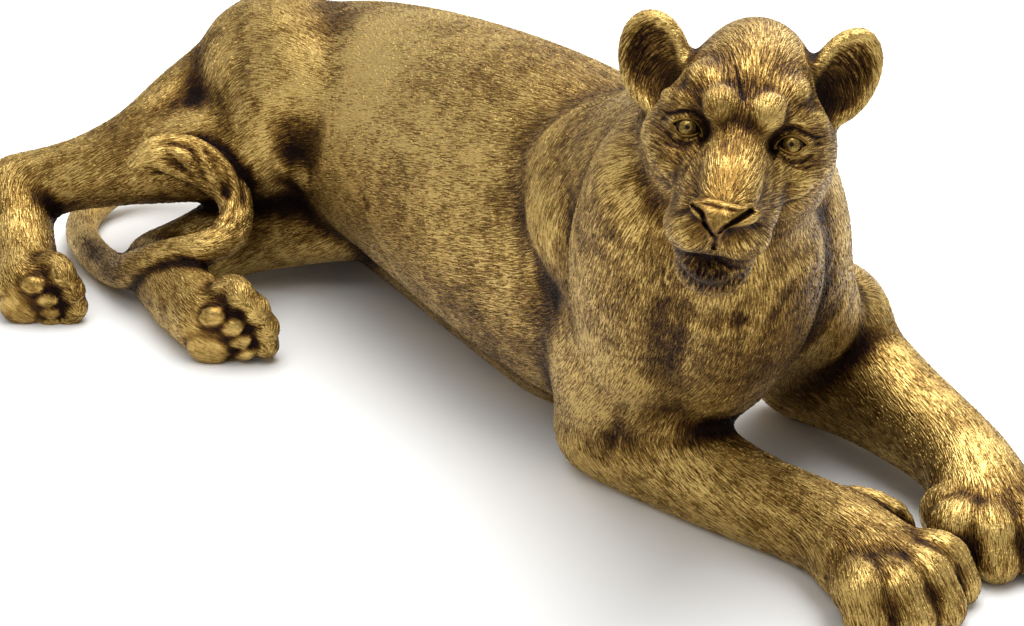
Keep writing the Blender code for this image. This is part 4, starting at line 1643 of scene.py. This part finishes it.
@dataclass
class Eyes:
    """The eyeballs, with ring and pupil cut into them, and the rims of the lids."""

    head: Head
    casting: Casting
    iris: float = 41.0
    pupil: float = 11.0
    eyeball_sides: int = 48
    lid_sides: int = 12
    lid_steps: int = 10
    lid_breadth: float = 1.25
    # the lids are left smooth and carry a little painted shade
    lid_finish: dict = field(default_factory=lambda: {"calm": 0.9, "rub": -0.15})

    def profile(self) -> list:
        """(angle from the gaze in degrees, distance from the middle as a share of the radius).

        Returns:
            The rows.
        """
        iris, pupil = self.iris, self.pupil
        return [(0, 0.955), (pupil * 0.5, 0.955), (pupil * 0.85, 0.96), (pupil, 0.99), (pupil * 1.3, 1.005),
                (pupil * 1.7, 0.995), (iris * 0.6, 0.985), (iris * 0.85, 0.982), (iris, 0.985),
                (iris * 1.06, 0.965), (iris * 1.14, 0.99), (iris * 1.4, 1.0), (75, 1.0), (95, 1.0),
                (115, 1.0), (140, 1.0), (165, 1.0)]

    def finish(self, shell: bmesh.types.BMesh, name: str) -> bpy.types.Object:
        """Turns a closed shell into a smooth object.

        Args:
            shell: the shell; it is freed.
            name: the piece's name.

        Returns:
            The object, linked to the scene.
        """
        bmesh.ops.recalc_face_normals(shell, faces=shell.faces)
        mesh = bpy.data.meshes.new(name)
        shell.to_mesh(mesh)
        shell.free()
        mesh.shade_smooth()
        item = bpy.data.objects.new(name, mesh)
        bpy.context.scene.collection.objects.link(item)
        return item

    def build(self, side: int, name: str) -> bpy.types.Object:
        """Makes one eyeball in metres.

        Args:
            side: RIGHT or LEFT.
            name: the piece's name.

        Returns:
            The object.
        """
        gaze, across, over = self.head.eye_axes(side)
        middle, radius = self.head.socket(side), self.head.eye_radius
        shell = bmesh.new()
        rings = []
        around = np.linspace(0, 2 * math.pi, self.eyeball_sides, endpoint=False)
        spokes = [across * math.cos(t) + over * math.sin(t) for t in around]
        for angle, reach in self.profile()[1:]:
            a = math.radians(angle)
            ring = [middle + radius * reach * (gaze * math.cos(a) + math.sin(a) * spoke) for spoke in spokes]
            rings.append([shell.verts.new(self.casting.to_metres(p)) for p in ring])
        for one, two in zip(rings[:-1], rings[1:]):
            for j in range(len(around)):
                shell.faces.new((one[j - 1], two[j - 1], two[j], one[j]))
        front = shell.verts.new(self.casting.to_metres(middle + gaze * radius * self.profile()[0][1]))
        back = shell.verts.new(self.casting.to_metres(middle - gaze * radius))
        for j in range(len(around)):
            shell.faces.new((front, rings[0][j - 1], rings[0][j]))
            shell.faces.new((back, rings[-1][j], rings[-1][j - 1]))
        item = self.finish(shell, name)
        centre = Vector(self.casting.to_metres(middle))
        angles = [math.degrees((v.co - centre).angle(Vector(gaze))) for v in item.data.vertices]
        item.data.attributes.new("eye_angle", "FLOAT", "POINT").data.foreach_set("value", angles)
        return item

    def lids(self, side: int, name: str) -> bpy.types.Object:
        """Makes the rim of one eye's lids as a closed ring.

        Args:
            side: RIGHT or LEFT.
            name: the piece's name.

        Returns:
            The object.
        """
        curve = self.head.lid_curve(self.lid_steps)
        axes, middle = self.head.eye_axes(side), self.head.socket(side)
        places = middle + curve @ axes
        along = unit(np.roll(places, -1, axis=0) - np.roll(places, 1, axis=0))
        away = unit(places - middle)
        across = unit(np.cross(along, away))
        around = np.linspace(0, 2 * math.pi, self.lid_sides, endpoint=False)
        shell = bmesh.new()
        rings = []
        for p, out, over in zip(places, across, away):
            spokes = [out * math.cos(a) * self.lid_breadth + over * math.sin(a) for a in around]
            ring = [p + self.head.lid_thickness * spoke for spoke in spokes]
            rings.append([shell.verts.new(self.casting.to_metres(q)) for q in ring])
        for one, two in zip(rings, rings[1:] + rings[:1]):
            for j in range(len(around)):
                shell.faces.new((one[j - 1], one[j], two[j], two[j - 1]))
        item = self.finish(shell, name)
        layers = item.data.attributes
        lie = np.repeat(along, len(around), axis=0)
        layers.new("coat_lie", "FLOAT_VECTOR", "POINT").data.foreach_set("vector", lie.ravel())
        for word, value in self.lid_finish.items():
            values = np.full(len(item.data.vertices), value)
            layers.new(word, "FLOAT", "POINT").data.foreach_set("value", values)
        return item


@dataclass
class Coat:
    """Raised locks of hair, set over the casting by Geometry Nodes and taken as plain meshes."""

    casting: Casting
    locks: int = 31000
    slenderness: float = 5.2
    cover: float = 1.25
    rise: float = 0.42
    stray: float = 0.32
    seed: int = 11
    long_ends: tuple = (0.6, 1.35, 5)
    wide_ends: tuple = (0.65, 1.35, 6)
    tone_ends: tuple = (-0.5, 0.5, 9)

    def lock(self) -> bpy.types.Object:
        """One lock, a unit long: a low ridge that sinks into the surface at both ends.

        Returns:
            The object, not linked to the scene.
        """
        mesh = bpy.data.meshes.new("lock")
        points = [(-0.5, 0, -0.55), (0.5, 0, -0.45), (-0.06, -0.5, -0.25), (-0.06, 0.5, -0.25),
                  (-0.02, 0, 0.75)]
        faces = [(0, 2, 4), (0, 4, 3), (0, 3, 2), (1, 4, 2), (1, 3, 4), (1, 2, 3)]
        mesh.from_pydata(points, [], faces)
        mesh.update()
        mesh.shade_smooth()
        return bpy.data.objects.new("lock", mesh)

    def tree(self) -> bpy.types.NodeTree:
        """Builds the tree that sets the locks.

        Returns:
            The Geometry Nodes tree.
        """
        tree = bpy.data.node_groups.new("set_locks", "GeometryNodeTree")
        sockets = (("Geometry", "Geometry"), ("Lock", "Object"), ("Density", "Float"), ("Length", "Float"),
                   ("Width", "Float"), ("Height", "Float"), ("Stray", "Float"), ("Seed", "Int"),
                   ("Finish", "Material"))
        for name, kind in sockets:
            tree.interface.new_socket(name, in_out="INPUT", socket_type="NodeSocket" + kind)
        tree.interface.new_socket("Geometry", in_out="OUTPUT", socket_type="NodeSocketGeometry")
        bench = NodeBench(tree)
        given = bench.add("NodeGroupInput").outputs
        result = bench.add("NodeGroupOutput")
        lie, share = (bench.add("GeometryNodeInputNamedAttribute", {"data_type": kind}, Name=name).outputs[0]
                      for kind, name in (("FLOAT_VECTOR", "coat_lie"), ("FLOAT", "coat_share")))
        spread = bench.add("GeometryNodeDistributePointsOnFaces", {"distribute_method": "RANDOM"},
                           Mesh=given["Geometry"], Density=bench.math("MULTIPLY", share, given["Density"]),
                           Seed=given["Seed"])
        wild = bench.add("FunctionNodeRandomValue", {"data_type": "FLOAT_VECTOR"}, _0=(-1, -1, -1),
                         _1=(1, 1, 1), Seed=given["Seed"]).outputs[0]
        towards = bench.vector("ADD", lie, bench.vector("SCALE", wild, given["Stray"]))
        upright = bench.add("FunctionNodeAlignRotationToVector", {"axis": "Z"},
                            Vector=spread.outputs["Normal"])
        turn = bench.add("FunctionNodeAlignRotationToVector", {"axis": "X", "pivot_axis": "Z"},
                         Rotation=upright.outputs[0], Vector=towards)
        kind, settings = "FunctionNodeRandomValue", {"data_type": "FLOAT"}
        long, wide, tone = (bench.add(kind, settings, _2=low, _3=high, Seed=seed).outputs[1]
                            for low, high, seed in (self.long_ends, self.wide_ends, self.tone_ends))
        size = bench.add("ShaderNodeCombineXYZ", X=bench.math("MULTIPLY", long, given["Length"]),
                         Y=bench.math("MULTIPLY", wide, given["Width"]),
                         Z=bench.math("MULTIPLY", wide, given["Height"])).outputs[0]
        lock = bench.add("GeometryNodeObjectInfo", Object=given["Lock"]).outputs["Geometry"]
        placed = bench.add("GeometryNodeInstanceOnPoints", Points=spread.outputs["Points"], Instance=lock,
                           Rotation=turn.outputs[0], Scale=size).outputs[0]
        named = bench.add("GeometryNodeStoreNamedAttribute", {"data_type": "FLOAT", "domain": "INSTANCE"},
                          Geometry=placed, Name="lock_tone", Value=tone).outputs[0]
        real = bench.add("GeometryNodeRealizeInstances", Geometry=named).outputs[0]
        finished = bench.add("GeometryNodeSetMaterial", Geometry=real, Material=given["Finish"]).outputs[0]
        tree.links.new(finished, result.inputs[0])
        return tree

    def area(self, mesh: bpy.types.Mesh, share: np.ndarray) -> float:
        """The coated area of a mesh in square metres.

        Args:
            mesh: the casting's mesh.
            share: how thickly each vertex is covered.

        Returns:
            The area.
        """
        faces = np.empty(len(mesh.polygons))
        mesh.polygons.foreach_get("area", faces)
        corners = np.empty(len(mesh.loops), int)
        mesh.loops.foreach_get("vertex_index", corners)
        return float((faces * share[corners.reshape(-1, 3)].mean(1)).sum())

    def build(self, name: str, share: np.ndarray, tree: bpy.types.NodeTree,
              finish: bpy.types.Material) -> bpy.types.Object:
        """Sets the locks of one part of the coat.

        Args:
            name: the piece's name.
            share: for each vertex of the casting, how thickly it is covered, 0 to 1.
            tree: the Geometry Nodes tree.
            finish: the locks' material.

        Returns:
            The object, a plain mesh.
        """
        ground = self.casting.item.data.copy()
        ground.attributes.new("coat_share", "FLOAT", "POINT").data.foreach_set("value", share)
        density = self.locks / self.area(ground, share)
        width = math.sqrt(self.cover / (self.slenderness * density))
        item = bpy.data.objects.new(name, ground)
        bpy.context.scene.collection.objects.link(item)
        lock = self.lock()
        bpy.context.scene.collection.objects.link(lock)
        setter = item.modifiers.new("locks", "NODES")
        setter.node_group = tree
        values = {"Lock": lock, "Density": density, "Length": width * self.slenderness, "Width": width,
                  "Height": width * self.rise, "Stray": self.stray, "Seed": self.seed, "Finish": finish}
        for socket in tree.interface.items_tree:
            if socket.in_out == "INPUT" and socket.name in values:
                setter[socket.identifier] = values[socket.name]
        graph = bpy.context.evaluated_depsgraph_get()
        mesh = bpy.data.meshes.new_from_object(item.evaluated_get(graph))
        item.modifiers.remove(setter)
        item.data = mesh
        mesh.name = name
        bpy.data.meshes.remove(ground)
        bpy.data.objects.remove(lock, do_unlink=True)
        places = np.empty(len(mesh.vertices) * 3)
        mesh.vertices.foreach_get("co", places)
        low, high = (np.array(corner) for corner in self.casting.box)
        mesh.vertices.foreach_set("co", np.clip(places.reshape(-1, 3), low, high).ravel())
        mesh.update()
        return item


@dataclass
class Studio:
    """Pale floor, soft lights and the camera at the photograph's angle."""

    azimuth: float = 28.4
    elevation: float = 23.8
    distance: float = 191.77
    target: tuple = (0, 0, 12.39)
    focal_pixels: float = 2369
    image_width: float = 1024
    view_end: float = 30
    floor_reach: float = 6.0
    floor_colour: tuple = (0.86, 0.86, 0.85, 1)
    floor_roughness: float = 0.7
    aim: tuple = (0.1, 0, 0.15)
    boxes: tuple = (("top", (-0.1, 0.3, 2.6), 2.4, 88), ("key", (0.9, -1.2, 2.3), 1.0, 10),
                    ("back", (-1.0, 1.9, 1.9), 1.2, 22))
    room: float = 0.58

    def camera(self, casting: Casting) -> None:
        """Sets the scene's camera.

        Args:
            casting: the casting, which knows the scale.
        """
        a, e = math.radians(self.azimuth), math.radians(self.elevation)
        away = np.array((math.cos(a) * math.cos(e), -math.sin(a) * math.cos(e), math.sin(e)))
        place = np.array(self.target) + away * self.distance
        data = bpy.data.cameras.new("camera")
        data.sensor_width = SENSOR
        data.lens = SENSOR * self.focal_pixels / self.image_width
        data.clip_end = self.view_end
        item = bpy.data.objects.new("camera", data)
        item.location = casting.to_metres(place)
        item.rotation_euler = Vector(-away).to_track_quat("-Z", "Y").to_euler()
        bpy.context.scene.collection.objects.link(item)
        bpy.context.scene.camera = item

    def floor(self) -> None:
        """Lays the floor."""
        mesh = bpy.data.meshes.new("floor")
        r = self.floor_reach
        mesh.from_pydata([(-r, -r, 0), (r, -r, 0), (r, r, 0), (-r, r, 0)], [], [(0, 1, 2, 3)])
        item = bpy.data.objects.new("floor", mesh)
        material = bpy.data.materials.new("floor")
        material.use_nodes = True
        shader = material.node_tree.nodes["Principled BSDF"]
        shader.inputs["Base Color"].default_value = self.floor_colour
        shader.inputs["Roughness"].default_value = self.floor_roughness
        mesh.materials.append(material)
        bpy.context.scene.collection.objects.link(item)
        item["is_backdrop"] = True

    def light(self, name: str, place: tuple, size: float, power: float) -> None:
        """Hangs one soft box.

        Args:
            name: the light's name.
            place: where it hangs, in metres.
            size: the length of its side.
            power: its strength in watts.
        """
        data = bpy.data.lights.new(name, "AREA")
        data.shape = "SQUARE"
        data.size = size
        data.energy = power
        item = bpy.data.objects.new(name, data)
        item.location = place
        item.rotation_euler = (Vector(self.aim) - Vector(place)).to_track_quat("-Z", "Y").to_euler()
        bpy.context.scene.collection.objects.link(item)

    def lights(self) -> None:
        """Hangs the soft boxes and lights the room."""
        for box in self.boxes:
            self.light(*box)
        world = bpy.data.worlds.new("studio")
        world.use_nodes = True
        back = world.node_tree.nodes["Background"]
        back.inputs["Color"].default_value = (1, 1, 1, 1)
        back.inputs["Strength"].default_value = self.room
        bpy.context.scene.world = world


def piece(item: bpy.types.Object, material: bpy.types.Material) -> None:
    """Dresses a finished piece, hangs it under the body's empty and hides the imported part that it replaces.

    Args:
        item: the object.
        material: its finish.
    """
    item.data.materials.clear()
    item.data.materials.append(material)
    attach(item, BODY)
    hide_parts(NODE)
    LOG.info("%s: %d faces", item.name, len(item.data.polygons))


def main() -> None:
    """Builds the lioness, her finish, the stage and the camera."""
    logging.basicConfig(level=logging.INFO, format="%(relativeCreated)6d ms %(message)s")
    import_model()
    cad_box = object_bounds()
    clays = Clays()
    head = Head()
    hind = HindLegs()
    for part in (Trunk(), Forelegs(), hind, Tail(), head):
        part.masses(clays)
    casting = Casting(head, hind, Folds(), clays, cad_box)
    gold = OldGold().material(BrushedCoat().group())
    piece(casting.build(), gold)
    eyes = Eyes(head, casting)
    polished = EyeGold().material()
    for side, word in ((RIGHT, "right"), (LEFT, "left")):
        piece(eyes.build(side, word + "_eyeball"), polished)
        piece(eyes.lids(side, word + "_eyelids"), gold)
    coat = Coat(casting)
    tree = coat.tree()
    for name, share in casting.coat_parts().items():
        piece(coat.build(name, share, tree, gold), gold)
    studio = Studio()
    studio.floor()
    studio.lights()
    studio.camera(casting)
    bpy.context.scene.view_settings.view_transform = "Standard"


if __name__ == "__main__":
    main()
